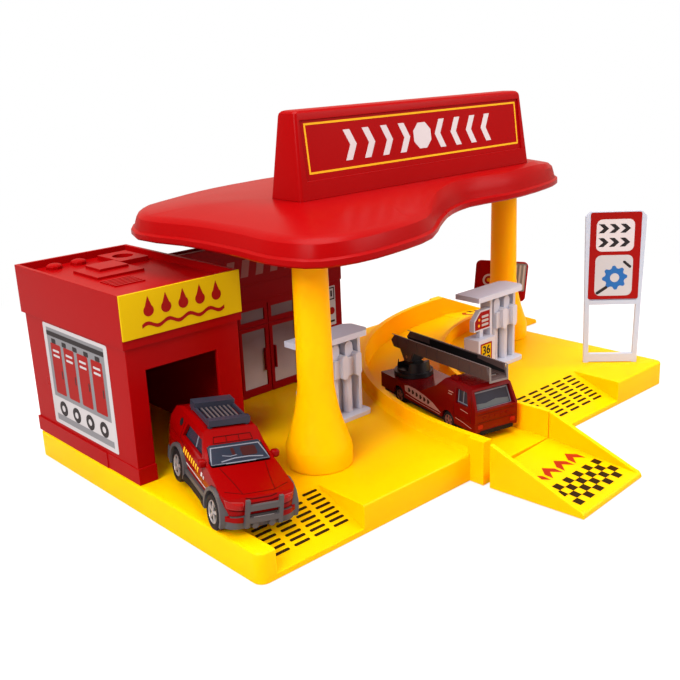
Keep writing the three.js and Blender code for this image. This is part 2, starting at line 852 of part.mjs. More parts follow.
// A column: spigot, foot band, flared foot and a slightly tapered shaft
function column() {
  const bottom = deckHeight + seatGap;
  const bandTop = bottom + columnFootHeight;
  const top = socketTop - seatGap;
  const profile = [[0, deckHeight - spigotDepth], [spigotRadius, deckHeight - spigotDepth]];
  profile.push([spigotRadius, bottom], [columnFootRadius, bottom], [columnFootRadius, bandTop]);
  for (const [widthShare, riseShare] of flareShares) {
    const radius = columnShaftRadius + widthShare * (columnFootRadius - columnShaftRadius);
    profile.push([radius, bandTop + riseShare * columnFlareHeight]);
  }
  profile.push([columnTopRadius, top], [0, top]);
  return solidOf(turned(profile, roundFacets));
}

// The canopy's rim line as seen from above, moved inwards by an inset
function canopyRing(inset, height) {
  const points = canopyOutlineShares.map(([along, back]) => {
    return new THREE.Vector3(canopyLeft + along * canopyLength, canopyFront + back * canopyDepth, 0);
  });
  const line = new THREE.CatmullRomCurve3(points, true, 'centripetal');
  return Array.from({ length: outlineFacets }, (unused, place) => {
    const share = place / outlineFacets;
    const point = line.getPoint(share);
    const along = line.getTangent(share);
    return new THREE.Vector3(point.x - inset * along.y, point.y + inset * along.x, height);
  });
}

// The nearest place to a point on the flat seat of the sign board
function seatPlace(point) {
  const clamp = THREE.MathUtils.clamp;
  const x = clamp(point.x, boardLeft - crownMargin, boardLeft + boardLength + crownMargin);
  const y = clamp(point.y, boardFront - crownMargin, boardFront + boardFootDepth + crownMargin);
  return new THREE.Vector3(x, y, point.z);
}

// The dome's rings from the top of its side over the shoulder to the crown, in by a wall
function domeRings(wall, sideTop, levels) {
  const sideInset = rimProud + canopyDraft + wall;
  const ceiling = canopyTopHeight - wall;
  const edge = canopyRing(sideInset + shoulderInset, 0);
  const falls = edge.map((point) => {
    return crownRise * Math.min(1, point.distanceTo(seatPlace(point)) / crownReach);
  });
  const shoulder = Array.from({ length: levels }, (unused, level) => {
    const angle = quarterTurn * (level / (levels - 1));
    const ring = canopyRing(sideInset + shoulderInset * (1 - Math.cos(angle)), 0);
    ring.forEach((point, place) => {
      point.z = sideTop + (ceiling - falls[place] - sideTop) * Math.sin(angle);
    });
    return ring;
  });
  const lastShare = crownShares.at(-1);
  const crown = crownShares.map((share) => edge.map((point, place) => {
    const height = ceiling - falls[place] * (1 - share / lastShare) ** 2;
    return point.clone().lerp(seatPlace(point), share).setZ(height);
  }));
  return [...shoulder, ...crown];
}

function canopyRoof() {
  const lipTop = canopyRimHeight + rimLip;
  const sideTop = lipTop + sideShare * (canopyTopHeight - crownRise - lipTop);
  const lipEdge = rimProud / 2;
  const outside = loft([
    canopyRing(lipEdge, canopyRimHeight),
    canopyRing(0, canopyRimHeight + lipEdge),
    canopyRing(0, lipTop - lipEdge),
    canopyRing(rimProud, lipTop),
    ...domeRings(0, sideTop, domeLevels),
  ]);
  const inside = loft([
    canopyRing(rimProud + canopyWall, canopyRimHeight - overrun),
    canopyRing(rimProud + canopyWall, lipTop),
    ...domeRings(canopyWall, sideTop, domeLevels - 1),
  ]);
  const ceiling = canopyTopHeight - canopyWall;
  const places = [[leftColumnX, leftColumnY], [rightColumnX, rightColumnY]];
  const holeRadius = columnTopRadius + slipGap;
  const collarBottom = socketTop - socketDepth;
  const collars = places.map(([x, y]) => {
    return rod(x, y, holeRadius + bossWall, collarBottom, ceiling, roundFacets).intersect(outside);
  });
  const holes = places.map(([x, y]) => {
    return rod(x, y, holeRadius + slipGap, collarBottom - overrun, socketTop, roundFacets);
  });
  const ribY = (leftColumnY + rightColumnY) / 2;
  const rib = block(
    [canopyLeft, ribY, ceiling - ribRise],
    [canopyLeft + canopyLength, ribY + ribWall, ceiling + canopyWall / 2],
  ).intersect(outside);
  const cross = canopyRibShares.map((share) => block(
    [canopyLeft + share * canopyLength, canopyFront, ceiling - ribRise],
    [canopyLeft + share * canopyLength + ribWall, canopyFront + canopyDepth, ceiling + canopyWall / 2],
  ).intersect(outside));
  return outside
    .subtract(inside)
    .add(joined([rib, ...cross, ...collars]))
    .subtract(joined([...holes, ...boardTongues(slipGap)]));
}

// Tongues under the sign board, or with a grow the canopy's slots for them
function boardTongues(grow) {
  const top = canopyTopHeight + (grow > 0 ? overrun : boardWall);
  const middle = boardFront + boardFootDepth / 2;
  return tongueShares.map((share) => {
    const centre = boardLeft + share * boardLength;
    const halfX = tongueWidth / 2 + grow;
    const halfY = tongueThickness / 2 + grow;
    const bottom = canopyTopHeight - tongueDepth - (grow > 0 ? overrun : 0);
    return block([centre - halfX, middle - halfY, bottom], [centre + halfX, middle + halfY, top]);
  });
}

// One level of the sign board: a rectangle with round corners, drawn in by the board's draft
function boardRing(share, wall, shrink, height) {
  const narrowing = (boardFootDepth - boardTopDepth) / 2;
  const insetX = share * boardEndDraft + wall + shrink;
  const insetY = share * narrowing + wall + shrink;
  const corner = Math.max(boardCorner - wall / 2, boardCorner / 2);
  const shape = roundedRectangle(
    boardLeft + insetX,
    boardFront + insetY,
    boardLeft + boardLength - insetX,
    boardFront + boardFootDepth - insetY,
    corner,
  );
  const points = shape.extractPoints(cornerFacets).shape;
  const open = points.filter((point, place) => {
    return place === 0 || point.distanceTo(points[place - 1]) > weldDistance;
  });
  if (open[0].distanceTo(open.at(-1)) < weldDistance) open.pop();
  return open.map((point) => new THREE.Vector3(point.x, point.y, height));
}

function roofSignBoard() {
  const foot = canopyTopHeight + seatGap;
  const top = foot + boardHeight;
  const crownFoot = top - boardCrown;
  const crown = Array.from({ length: cornerFacets }, (unused, step) => {
    const angle = quarterTurn * ((step + 1) / cornerFacets);
    const shrink = boardCrown * (1 - Math.cos(angle));
    return boardRing(1, 0, shrink, crownFoot + boardCrown * Math.sin(angle));
  });
  const outside = loft([boardRing(0, 0, 0, foot), boardRing(1, 0, 0, crownFoot), ...crown]);
  const inside = loft([boardRing(0, boardWall, 0, foot - overrun), boardRing(0, boardWall, 0, foot),
    boardRing(1, boardWall, 0, crownFoot)]);
  const lean = (boardFootDepth - boardTopDepth) / 2 / (crownFoot - foot);
  const faceAt = (z) => boardFront + lean * (z - foot);
  const low = foot + panelFoot;
  const high = top - panelHead;
  const recess = prismAlongX(
    [[faceAt(low) + panelDepth, low], [faceAt(high) + panelDepth, high], [faceAt(high) - overrun, high],
      [faceAt(low) - overrun, low]],
    boardLeft + panelMargin,
    boardLeft + boardLength - panelMargin,
  );
  const bridges = tongueShares.map((share) => {
    const centre = boardLeft + share * boardLength;
    return block(
      [centre - tongueWidth / 2, boardFront + boardWall / 2, foot],
      [centre + tongueWidth / 2, boardFront + boardFootDepth - boardWall / 2, foot + boardWall],
    );
  });
  return outside.subtract(inside).add(joined([...bridges, ...boardTongues(0)])).subtract(recess);
}

function bayWalls() {
  const bottom = deckHeight + seatGap;
  const top = lidTop - parapetRise - lidPlate - seatGap;
  const shell = block([bayLeft, bayFront, bottom], [bayRight, bayBack, top]);
  const room = block(
    [bayLeft + bayWall, bayFront + bayWall, bottom - overrun],
    [bayRight - bayWall, bayBack - bayWall, top + overrun],
  );
  const door = block(
    [bayLeft + doorLeft, bayFront - overrun, bottom - overrun],
    [bayLeft + doorLeft + doorWidth, bayFront + bayWall + overrun / 2, deckHeight + doorHeight],
  );
  const plinthTop = bottom + plinthHeight;
  const plinth = block(
    [bayLeft - plinthProud, bayFront + plinthSetback, bottom],
    [bayLeft + bayWall, bayBack + plinthProud, plinthTop],
  );
  const backPlinth = block(
    [bayLeft - plinthProud, bayBack - bayWall, bottom],
    [bayRight, bayBack + plinthProud, plinthTop],
  );
  const frontFoot = block(
    [bayLeft - plinthProud / 2, bayFront - plinthProud, bottom],
    [bayLeft + doorLeft, bayFront + plinthSetback, plinthTop],
  );
  const rightFoot = block(
    [bayLeft + doorLeft + doorWidth, bayFront - plinthProud, bottom],
    [bayRight, bayFront + bayWall, plinthTop],
  );
  const tabs = bayTabs().map((place) => tabSolid(place, deckHeight - tabDepth, bottom + plinthProud, 0));
  return joined([shell, plinth, backPlinth, frontFoot, rightFoot])
    .subtract(room)
    .subtract(door)
    .add(joined(tabs));
}

// A place on the lid's roof plate, given in shares of the bay's plan
function onRoof([alongShare, backShare]) {
  return [bayLeft + alongShare * bayWidth, bayFront + backShare * bayDepth];
}

function roofBlock([left, front, right, back], bottom, top) {
  const [x0, y0] = onRoof([left, front]);
  const [x1, y1] = onRoof([right, back]);
  return block([x0, y0, bottom], [x1, y1, top]);
}

const lidReach = lidWall + slipGap;

function bayRoof() {
  const roofLevel = lidTop - parapetRise;
  const underside = roofLevel - lidPlate;
  const box = block(
    [bayLeft - lidReach, bayFront - lidReach, underside - lidDrop],
    [bayRight + lidReach, bayBack + lidReach, lidTop],
  );
  const room = block(
    [bayLeft - slipGap, bayFront - slipGap, underside - lidDrop - overrun],
    [bayRight + slipGap, bayBack + slipGap, underside],
  );
  const well = block(
    [bayLeft - lidReach + parapetWall, bayFront - lidReach + parapetWall, roofLevel],
    [bayRight + lidReach - parapetWall, bayBack + lidReach - parapetWall, lidTop + overrun],
  );
  const vents = ventShares.map((share) => {
    const [x, y] = onRoof(share);
    const profile = [[0, roofLevel - lidPlate / 2], [ventRadius, roofLevel - lidPlate / 2]];
    for (let step = 0; step <= cornerFacets; step += 1) {
      const angle = quarterTurn * (step / cornerFacets);
      profile.push([ventRadius * Math.cos(angle), roofLevel + ventRise * (1 + Math.sin(angle)) / 2]);
    }
    const geometry = turned(profile, smallFacets);
    geometry.translate(x, y, 0);
    return solidOf(geometry);
  });
  const sunk = roofLevel - lidPlate / 2;
  const lowPad = roofBlock(lowPadShares, sunk, roofLevel + padStep);
  const highPad = roofBlock(highPadShares, sunk, roofLevel + 2 * padStep);
  const tankTop = roofLevel + tankPadRise;
  const [tankLeft, tankFront, tankRight, tankBack] = tankPadShares;
  const [tankX, tankY] = onRoof([(tankLeft + tankRight) / 2, (tankFront + tankBack) / 2]);
  const tankPad = roofBlock(tankPadShares, sunk, tankTop)
    .subtract(rod(tankX, tankY, tankRecessRadius, roofLevel, tankTop + overrun, roundFacets));
  const [louvreLeft, louvreFront, louvreRight, louvreBack] = louvreShares;
  const pitch = (louvreBack - louvreFront) / louvreCount;
  const louvres = Array.from({ length: louvreCount }, (unused, place) => {
    const start = louvreFront + place * pitch;
    return roofBlock([louvreLeft, start, louvreRight, start + pitch / 2], sunk, roofLevel + louvreRise);
  });
  const pegHoles = platePegPlaces().map(([x, z]) => {
    return crossRod(x, z, platePegRadius + slipGap, bayFront - lidReach - overrun, bayFront);
  });
  return box
    .subtract(room)
    .subtract(well)
    .add(joined([...vents, lowPad, highPad, tankPad, ...louvres]))
    .subtract(joined(pegHoles));
}

function platePegPlaces() {
  const z = lidTop - plateHeight / 2 - plateThickness;
  return [bayLeft + 3 * parapetWall, bayRight - 3 * parapetWall].map((x) => [x, z]);
}

// The yellow plate on the front of the lid, held by two pegs
function baySignPlate() {
  const back = bayFront - lidReach - seatGap;
  const plate = block(
    [bayLeft - lidReach, back - plateThickness, lidTop - plateHeight],
    [bayRight + lidReach, back, lidTop],
  );
  const pegs = platePegPlaces().map(([x, z]) => {
    return crossRod(x, z, platePegRadius, back - plateThickness / 2, bayFront - slipGap - seatGap);
  });
  return plate.add(joined(pegs));
}

function shopFront() {
  const bottom = deckHeight + seatGap;
  const back = frontPlane + frontDepth;
  const box = block([frontLeft, frontPlane, bottom], [frontRight, back, frontTop]);
  const room = block(
    [frontLeft + frontWall, frontPlane + frontWall, bottom - overrun],
    [frontRight - frontWall, back - frontWall, frontTop + overrun],
  );
  const fascia = block(
    [frontLeft, frontPlane - fasciaProud, fasciaBottom],
    [frontRight, frontPlane + frontWall, frontTop],
  );
  const ledge = block(
    [frontLeft, frontPlane - ledgeProud, ledgeBottom],
    [frontRight, frontPlane + frontWall, fasciaBottom + ledgeProud],
  );
  const panes = [-1, 1].flatMap((side) => {
    const near = frontCentre + side * paneGap / 2;
    const far = near + side * paneWidth;
    const left = Math.min(near, far);
    const right = Math.max(near, far);
    return [[doorPaneBottom, doorPaneTop], [upperPaneBottom, upperPaneTop]].map(([low, high]) => block(
      [left, frontPlane - overrun, low],
      [right, frontPlane + paneDepth, high],
    ));
  });
  const reach = paneGap / 2 + paneWidth + leafFrame;
  const leafTop = doorPaneTop + leafFrame;
  const frameTop = upperPaneTop + leafFrame;
  const grooveDepth = frontPlane + grooveWidth;
  const cutAt = (x, low, high) => block(
    [x - grooveWidth / 2, frontPlane - overrun, low],
    [x + grooveWidth / 2, grooveDepth, high],
  );
  const grooves = [
    cutAt(frontCentre, bottom - overrun, frameTop),
    cutAt(frontCentre - reach, bottom - overrun, frameTop),
    cutAt(frontCentre + reach, bottom - overrun, frameTop),
    block(
      [frontCentre - reach, frontPlane - overrun, leafTop],
      [frontCentre + reach, grooveDepth, leafTop + grooveWidth],
    ),
  ];
  const handles = [-1, 1].map((side) => {
    const x = frontCentre + side * (paneGap / 2 + handleWidth);
    return block(
      [x - handleWidth / 2, frontPlane - handleWidth, handleBottom],
      [x + handleWidth / 2, frontPlane + frontWall, handleBottom + handleLength],
    );
  });
  const tabs = frontTabs().map((place) => tabSolid(place, deckHeight - tabDepth, bottom + frontWall, 0));
  return joined([box, ledge, fascia])
    .subtract(joined([...panes, ...grooves]))
    .subtract(room)
    .add(joined([...tabs, ...handles]).subtract(room.intersect(box)));
}

// One pump of an island: a half-round post, the holster, the nozzle and the hose's arch
function pump(x, roofUnderside) {
  const y = pumpSetback + pumpPostRadius;
  const holsterTop = holsterBottom + holsterHeight;
  const post = rod(x, y, pumpPostRadius, islandPlate / 2, holsterBottom + holsterHeight / 2);
  const web = block(
    [x - hoseThickness / 2, y, islandPlate / 2],
    [x + hoseThickness / 2, alcoveBack, roofUnderside],
  );
  const holster = block(
    [x - holsterWidth / 2, pumpSetback - hoseThickness, holsterBottom],
    [x + holsterWidth / 2, alcoveBack, holsterTop],
  );
  const left = x + holsterWidth / 2 - hoseThickness / 2;
  const right = left + nozzleWidth;
  const chamfer = nozzleWidth / 4;
  const low = holsterTop - nozzleDrop - nozzleHeight + holsterHeight / 2;
  const high = low + nozzleHeight;
  const nozzle = prismAlongY(
    [[left, low + chamfer], [left + chamfer, low], [right - chamfer, low], [right, low + 2 * chamfer],
      [right, high - chamfer], [right - chamfer, high], [left + chamfer, high], [left, high - chamfer]],
    pumpSetback - nozzleThickness,
    y + hoseThickness,
  );
  const archWidth = nozzleWidth;
  const arch = [];
  const legs = hoseRise - archWidth;
  for (let step = 0; step <= 2 * cornerFacets; step += 1) {
    const angle = Math.PI * (step / (2 * cornerFacets));
    const reach = archWidth / 2 + hoseThickness / 2;
    arch.push([x + reach * Math.cos(angle), holsterTop + legs + reach * Math.sin(angle)]);
  }
  arch.push([x - archWidth / 2 - hoseThickness / 2, holsterTop - hoseThickness]);
  arch.push([x + archWidth / 2 + hoseThickness / 2, holsterTop - hoseThickness]);
  const hose = prismAlongY(arch, pumpSetback, pumpSetback + hoseThickness + pumpPostRadius);
  return joined([post, web, holster, nozzle, hose]);
}

function pumpIsland() {
  const roofUnderside = islandHeight - islandRoof;
  const plate = slab(roundedRectangle(0, 0, islandLength, islandDepth, islandCorner), 0, islandPlate);
  const roofPlan = outline([
    [0, 0],
    [islandLength - islandCorner, 0],
    [islandLength, islandCorner],
    [islandLength, islandDepth - islandCorner],
    [islandLength - islandCorner, islandDepth],
    [0, islandDepth],
  ]);
  const roof = slab(roofPlan, roofUnderside, islandHeight);
  const rightEnd = islandLength - alcoveRight;
  const backWall = block(
    [alcoveLeft, alcoveBack - alcoveWall, islandPlate / 2],
    [rightEnd, alcoveBack, roofUnderside + islandRoof / 2],
  );
  const sideWalls = [alcoveLeft, rightEnd - alcoveWall].map((x) => block(
    [x, alcoveFront, islandPlate / 2],
    [x + alcoveWall, alcoveBack, roofUnderside + islandRoof / 2],
  ));
  const cabinet = block(
    [cabinetLeft, cabinetFront, islandPlate / 2],
    [alcoveLeft + alcoveWall / 2, cabinetFront + cabinetDepth, cabinetHeight],
  );
  const neckX = cabinetLeft + cabinetWidth / 2;
  const signFront = alcoveFront;
  const neck = block(
    [neckX - neckWidth / 2, signFront, cabinetHeight - islandPlate],
    [neckX + neckWidth / 2, signFront + neckDepth, priceSignBottom + islandPlate],
  );
  const signTop = priceSignBottom + priceSignHeight;
  const signRight = alcoveLeft + alcoveWall / 2;
  const priceSign = prismAlongY(
    [[priceSignLeft, priceSignBottom], [signRight, priceSignBottom], [signRight, signTop],
      [priceSignLeft + priceSignCut, signTop], [priceSignLeft, signTop - priceSignCut]],
    signFront,
    signFront + priceSignThickness,
  );
  const first = alcoveLeft + alcoveWall + pumpPitch / 2;
  const pumps = [first, first + pumpPitch].map((x) => pump(x, roofUnderside));
  const tabs = islandTabs(0, 0).map((place) => tabSolid(place, -seatGap - tabDepth, islandPlate / 2, 0));
  return joined([plate, roof, backWall, ...sideWalls, cabinet, neck, priceSign, ...pumps, ...tabs]);
}

// The workshop sign's frame, drawn upright along x with its left foot at the origin
function workshopFrame() {
  const lean = (frameTopWidth - frameFootWidth) / 2;
  const middle = frameFootWidth / 2;
  const half = (z) => frameFootWidth / 2 + lean * (z / frameTopHeight);
  const corner = frameThickness;
  const outer = [
    [middle - half(0), 0],
    [middle + half(0), 0],
    [middle + half(frameTopHeight), frameTopHeight - corner],
    [middle + half(frameTopHeight) - corner, frameTopHeight],
    [middle - half(frameTopHeight) + corner, frameTopHeight],
    [middle - half(frameTopHeight), frameTopHeight - corner],
  ];
  const windowTop = framePanelBottom;
  const windowOpening = [
    [middle - half(frameBarHeight) + framePost, frameBarHeight],
    [middle + half(frameBarHeight) - framePost, frameBarHeight],
    [middle + half(windowTop) - framePost, windowTop],
    [middle - half(windowTop) + framePost, windowTop],
  ];
  const front = -frameThickness / 2;
  const back = frameThickness / 2;
  const insetPanel = block(
    [middle - half(windowTop) + framePanelRim, front - overrun, windowTop + framePanelRim],
    [middle + half(windowTop) - framePanelRim, front + framePanelDepth, frameTopHeight - framePanelRim],
  );
  const feet = [framePost / 2, frameFootWidth - framePost / 2].map((x) => block(
    [x - framePost / 2, front, -turnedGap - tabDepth],
    [x + framePost / 2, back, frameBarHeight / 2],
  ));
  return prismAlongY(outer, front, back)
    .subtract(prismAlongY(windowOpening, front - overrun, back + overrun))
    .subtract(insetPanel)
    .add(joined(feet));
}

// The small sign: a tilted plate with round corners on an upright post
function smallSign() {
  const half = smallSignWidth / 2;
  const shape = roundedRectangle(-half, 0, half, smallSignHeight, smallSignCorner);
  const geometry = new THREE.ExtrudeGeometry(shape, {
    depth: smallSignThickness,
    bevelEnabled: false,
    curveSegments: cornerFacets,
  });
  geometry.rotateX(quarterTurn);
  geometry.rotateY(radians(smallSignTiltDegrees));
  geometry.translate(0, smallSignThickness / 2, smallSignBottom);
  const post = block(
    [-smallSignPost / 2, -smallSignThickness / 2, -turnedGap - tabDepth],
    [smallSignPost / 2, smallSignThickness / 2, smallSignBottom + smallSignHeight / 2],
  );
  return solidOf(geometry).add(post);
}

// A side outline from shares of a car's length and height, in its own x and z
function carOutline(shares, front, length, bottom, height) {
  return shares.map(([along, up]) => [front - along * length, bottom + up * height]);
}

// A front outline from shares of a car's half width and height, mirrored
function carSection(shares, halfWidth, bottom, height) {
  const right = shares.map(([across, up]) => [across * halfWidth, bottom + up * height]);
  const left = right.map(([y, z]) => [-y, z]).reverse();
  return [...right, ...left];
}

function bothSides(make) {
  return joined([-1, 1].map(make));
}

// Room for a wheel on one side, a short cylinder round its axle
function wheelRoom(x, z, radius, side, inner, outer) {
  const from = Math.min(side * inner, side * outer);
  const to = Math.max(side * inner, side * outer);
  return crossRod(x, z, radius, from, to, wheelFacets);
}

const suvAxles = [0, -suvWheelbase];
const suvTop = suvBodyBottom + suvBodyHeight;
const suvArchRadius = suvWheelRadius + suvArchGap;
const suvFlareRadius = suvArchRadius + suvFlare;

function suvGlassBlock(inset) {
  const front = suvFrontOverhang;
  const side = carOutline(suvGlassSideShares, front, suvLength, suvBodyBottom, suvBodyHeight);
  const section = carSection(suvFrontShares, suvHalfWidth - inset, suvBodyBottom, suvBodyHeight - inset);
  const span = prismAlongX(section, front - suvLength + inset, front - inset);
  return prismAlongY(side, -suvHalfWidth, suvHalfWidth).intersect(span);
}

function suvBody() {
  const front = suvFrontOverhang;
  const rear = front - suvLength;
  const side = carOutline(suvSideShares, front, suvLength, suvBodyBottom, suvBodyHeight);
  const section = carSection(suvFrontShares, suvHalfWidth, suvBodyBottom, suvBodyHeight);
  const plan = roundedRectangle(rear, -suvHalfWidth, front, suvHalfWidth, suvNoseRadius);
  const form = prismAlongY(side, -suvHalfWidth - overrun, suvHalfWidth + overrun)
    .intersect(prismAlongX(section, rear - overrun, front + overrun))
    .intersect(slab(plan, suvBodyBottom - overrun, suvTop + overrun));
  const [[lowShare, lowUp], [highShare, highUp]] = suvScreenShares;
  const screenPoints = carSection(
    [[lowShare, lowUp], [highShare, highUp]],
    suvHalfWidth,
    suvBodyBottom,
    suvBodyHeight,
  );
  const screens = prismAlongX(screenPoints, rear - overrun, front + overrun);
  const doorWindow = prismAlongY(
    carOutline(suvDoorWindowShares, front, suvLength, suvBodyBottom, suvBodyHeight),
    -suvHalfWidth - overrun,
    suvHalfWidth + overrun,
  );
  const [ventAlong, ventUp] = suvVentShares;
  const vent = crossRod(
    front - ventAlong * suvLength,
    suvBodyBottom + ventUp * suvBodyHeight,
    suvVentRadius,
    -suvHalfWidth - overrun,
    suvHalfWidth + overrun,
  );
  const arches = suvAxles.map((x) => bothSides((hand) => wheelRoom(
    x,
    suvWheelRadius,
    suvFlareRadius + turnedGap,
    hand,
    suvHalfTrack - suvWheelWidth - turnedGap,
    suvHalfWidth + overrun,
  )));
  const rackSlots = suvRackFeet().map(([x, y]) => {
    return rod(x, y, suvRackRail + slipGap, suvTop - 2 * suvShell, suvTop + overrun);
  });
  const hollow = prismAlongY(
    [
      [front - suvHollowShares[0][0] * suvLength, suvBodyBottom - overrun],
      ...carOutline(suvHollowShares, front, suvLength, suvBodyBottom, suvBodyHeight),
      [front - suvHollowShares.at(-1)[0] * suvLength, suvBodyBottom - overrun],
    ],
    -suvHalfWidth + 2 * suvShell,
    suvHalfWidth - 2 * suvShell,
  );
  return form
    .subtract(suvGlassBlock(suvShell))
    .subtract(joined([hollow, screens, doorWindow, vent, ...arches, ...rackSlots]));
}

function suvWindows() {
  const floor = suvBodyBottom + suvGlassSideShares[0][1] * suvBodyHeight + turnedGap;
  const ceiling = suvTop - suvShell - 2 * turnedGap - suvRackRail;
  const room = block([-suvLength, -suvHalfWidth, floor], [suvFrontOverhang, suvHalfWidth, ceiling]);
  return suvGlassBlock(suvShell + turnedGap).intersect(room);
}

// The grey lower body: sills, bumpers and flares round the wheels, with the bull bar in front
function suvChassis() {
  const front = suvFrontOverhang + suvFlare / 2;
  const rear = suvFrontOverhang - suvLength - suvFlare / 2;
  const half = suvHalfWidth + suvFlare / 4;
  const top = suvBodyBottom - turnedGap;
  const plan = roundedRectangle(rear, -half, front, half, suvNoseRadius);
  const tray = slab(plan, suvFloor, top);
  const flares = suvAxles.map((x) => bothSides((hand) => {
    return wheelRoom(x, suvWheelRadius, suvFlareRadius, hand, half - 2 * suvFlare, half + suvFlare / 2);
  }));
  const below = block([rear, -half - overrun, -2 * overrun], [front, half + overrun, suvFloor]);
  const wellInner = suvHalfTrack - suvWheelWidth - turnedGap;
  const wells = suvAxles.map((x) => bothSides((hand) => {
    return wheelRoom(x, suvWheelRadius, suvArchRadius, hand, wellInner, half + overrun);
  }));
  const bores = suvAxles.map((x) => crossRod(x, suvWheelRadius, axleRadius + axleFit, -half, half));
  const posts = [-1, 1].map((hand) => block(
    [front - bullPost, hand * bullHalfWidth - bullPost / 2, bullBottom],
    [front + bullReach, hand * bullHalfWidth + bullPost / 2, bullRise],
  ));
  const postTrim = block(
    [front - bullPost - overrun, -half, top],
    [front + bullReach / 4, half, bullRise + overrun],
  );
  const bars = [top - bullBarHeight, bullRise - 2 * bullBarHeight].map((z) => block(
    [front + bullReach / 4, -bullHalfWidth, z],
    [front + bullReach, bullHalfWidth, z + bullBarHeight],
  ));
  const lamps = [-1, 1].map((hand) => {
    const lamp = turned([[0, 0], [lampRadius, 0], [lampRadius, bullReach], [0, bullReach]], smallFacets);
    lamp.rotateY(quarterTurn);
    lamp.translate(front - lampRadius / 4, hand * bullHalfWidth / 2, suvFloor + lampRadius);
    return solidOf(lamp);
  });
  return tray
    .add(joined(flares))
    .subtract(joined([below, ...wells, ...bores]))
    .add(joined(posts).subtract(postTrim))
    .add(joined([...bars, ...lamps]));
}

function suvRackFeet() {
  const [startShare, endShare] = suvRackShares;
  const startX = suvFrontOverhang - startShare * suvLength - suvBarDepth / 2;
  const endX = suvFrontOverhang - endShare * suvLength + suvBarDepth / 2;
  return [startX, endX].flatMap((x) => [-1, 1].map((hand) => [x, hand * (suvRackHalfWidth - suvRackRail)]));
}

// The roof rack: a frame with slats and a raised bar of lamps at its front
function suvRoofRack() {
  const [startShare, endShare] = suvRackShares;
  const start = suvFrontOverhang - startShare * suvLength;
  const end = suvFrontOverhang - endShare * suvLength;
  const bottom = suvTop + turnedGap;
  const top = bottom + suvRackRise;
  const frame = block([end, -suvRackHalfWidth, bottom], [start, suvRackHalfWidth, top]);
  const inside = block(
    [end + suvBarDepth, -suvRackHalfWidth + suvRackRail, bottom - overrun],
    [start - suvBarDepth, suvRackHalfWidth - suvRackRail, top + overrun],
  );
  const pitch = 2 * (suvRackHalfWidth - suvRackRail) / suvRackSlats;
  const slats = Array.from({ length: suvRackSlats - 1 }, (unused, place) => {
    const y = -suvRackHalfWidth + suvRackRail + (place + 1) * pitch;
    return block(
      [end + suvBarDepth / 2, y - suvRackRail / 2, bottom],
      [start - suvBarDepth / 2, y + suvRackRail / 2, top - suvRackRail / 2],
    );
  });
  const lampBar = block(
    [start - suvBarDepth, -suvRackHalfWidth, bottom],
    [start, suvRackHalfWidth, bottom + suvBarRise],
  );
  const feet = suvRackFeet().map(([x, y]) => rod(x, y, suvRackRail, suvTop - suvShell, bottom + suvRackRail));
  const rearBox = block(
    [end, -suvRackHalfWidth, bottom],
    [end + suvRearBoxDepth, suvRackHalfWidth, bottom + suvRearBoxRise],
  );
  return frame.subtract(inside).add(joined([...slats, lampBar, rearBox, ...feet]));
}

const truckAxles = [0, -truckWheelbase];
const truckTop = truckBodyBottom + truckBodyHeight;
const truckBed = truckBodyBottom + truckSideShares.at(-2)[1] * truckBodyHeight;
const truckArchRadius = truckWheelRadius + truckArchGap;

function truckGlassBlock(inset) {
  const side = carOutline(truckGlassShares, truckFrontOverhang, truckLength, truckBodyBottom, truckBodyHeight);
  const section = carSection(truckFrontShares, truckHalfWidth - inset, truckBodyBottom, truckBodyHeight);
  const span = prismAlongX(section, -truckLength, truckFrontOverhang - inset);
  return prismAlongY(side, -truckHalfWidth, truckHalfWidth).intersect(span);
}

function truckBody() {
  const front = truckFrontOverhang;
  const side = carOutline(truckSideShares, front, truckLength, truckBodyBottom, truckBodyHeight);
  const section = carSection(truckFrontShares, truckHalfWidth, truckBodyBottom, truckBodyHeight);
  const form = prismAlongY(side, -truckHalfWidth - overrun, truckHalfWidth + overrun)
    .intersect(prismAlongX(section, front - truckLength - overrun, front + overrun));
  const screen = prismAlongX(
    carSection(truckScreenShares, truckHalfWidth, truckBodyBottom, truckBodyHeight),
    front - truckGlassShares[2][0] * truckLength + truckShell,
    front + overrun,
  );
  const doorWindows = prismAlongY(
    carOutline(truckDoorWindowShares, front, truckLength, truckBodyBottom, truckBodyHeight),
    -truckHalfWidth - overrun,
    truckHalfWidth + overrun,
  );
  const wellInner = truckHalfTrack - truckWheelWidth - turnedGap;
  const arches = truckAxles.map((x) => bothSides((hand) => {
    return wheelRoom(x, truckWheelRadius, truckArchRadius, hand, wellInner, truckHalfWidth + overrun);
  }));
  const bores = truckAxles.map((x) => {
    return crossRod(x, truckWheelRadius, axleRadius + turnedGap, -truckHalfWidth, truckHalfWidth);
  });
  const journal = rod(
    -turntableSetback,
    0,
    journalRadius + axleFit,
    truckBed - journalDepth - turnedGap,
    truckBed + overrun,
    roundFacets,
  );
  const underside = truckBodyBottom - overrun;
  const hollow = prismAlongY(
    [
      [front - truckHollowShares[0][0] * truckLength, underside],
      ...carOutline(truckHollowShares, front, truckLength, truckBodyBottom, truckBodyHeight),
      [front - truckHollowShares.at(-1)[0] * truckLength, underside],
    ],
    -truckHalfWidth + truckShell,
    truckHalfWidth - truckShell,
  );
  const [cabFront, cabBack, cabTop] = truckCabShares;
  const cabRoom = block(
    [front - cabBack * truckLength, -truckHalfWidth + 3 * truckShell, underside],
    [
      front - cabFront * truckLength,
      truckHalfWidth - 3 * truckShell,
      truckBodyBottom + cabTop * truckBodyHeight,
    ],
  );
  return form
    .subtract(truckGlassBlock(truckShell))
    .subtract(joined([hollow, cabRoom, screen, doorWindows, ...arches, ...bores, journal]));
}

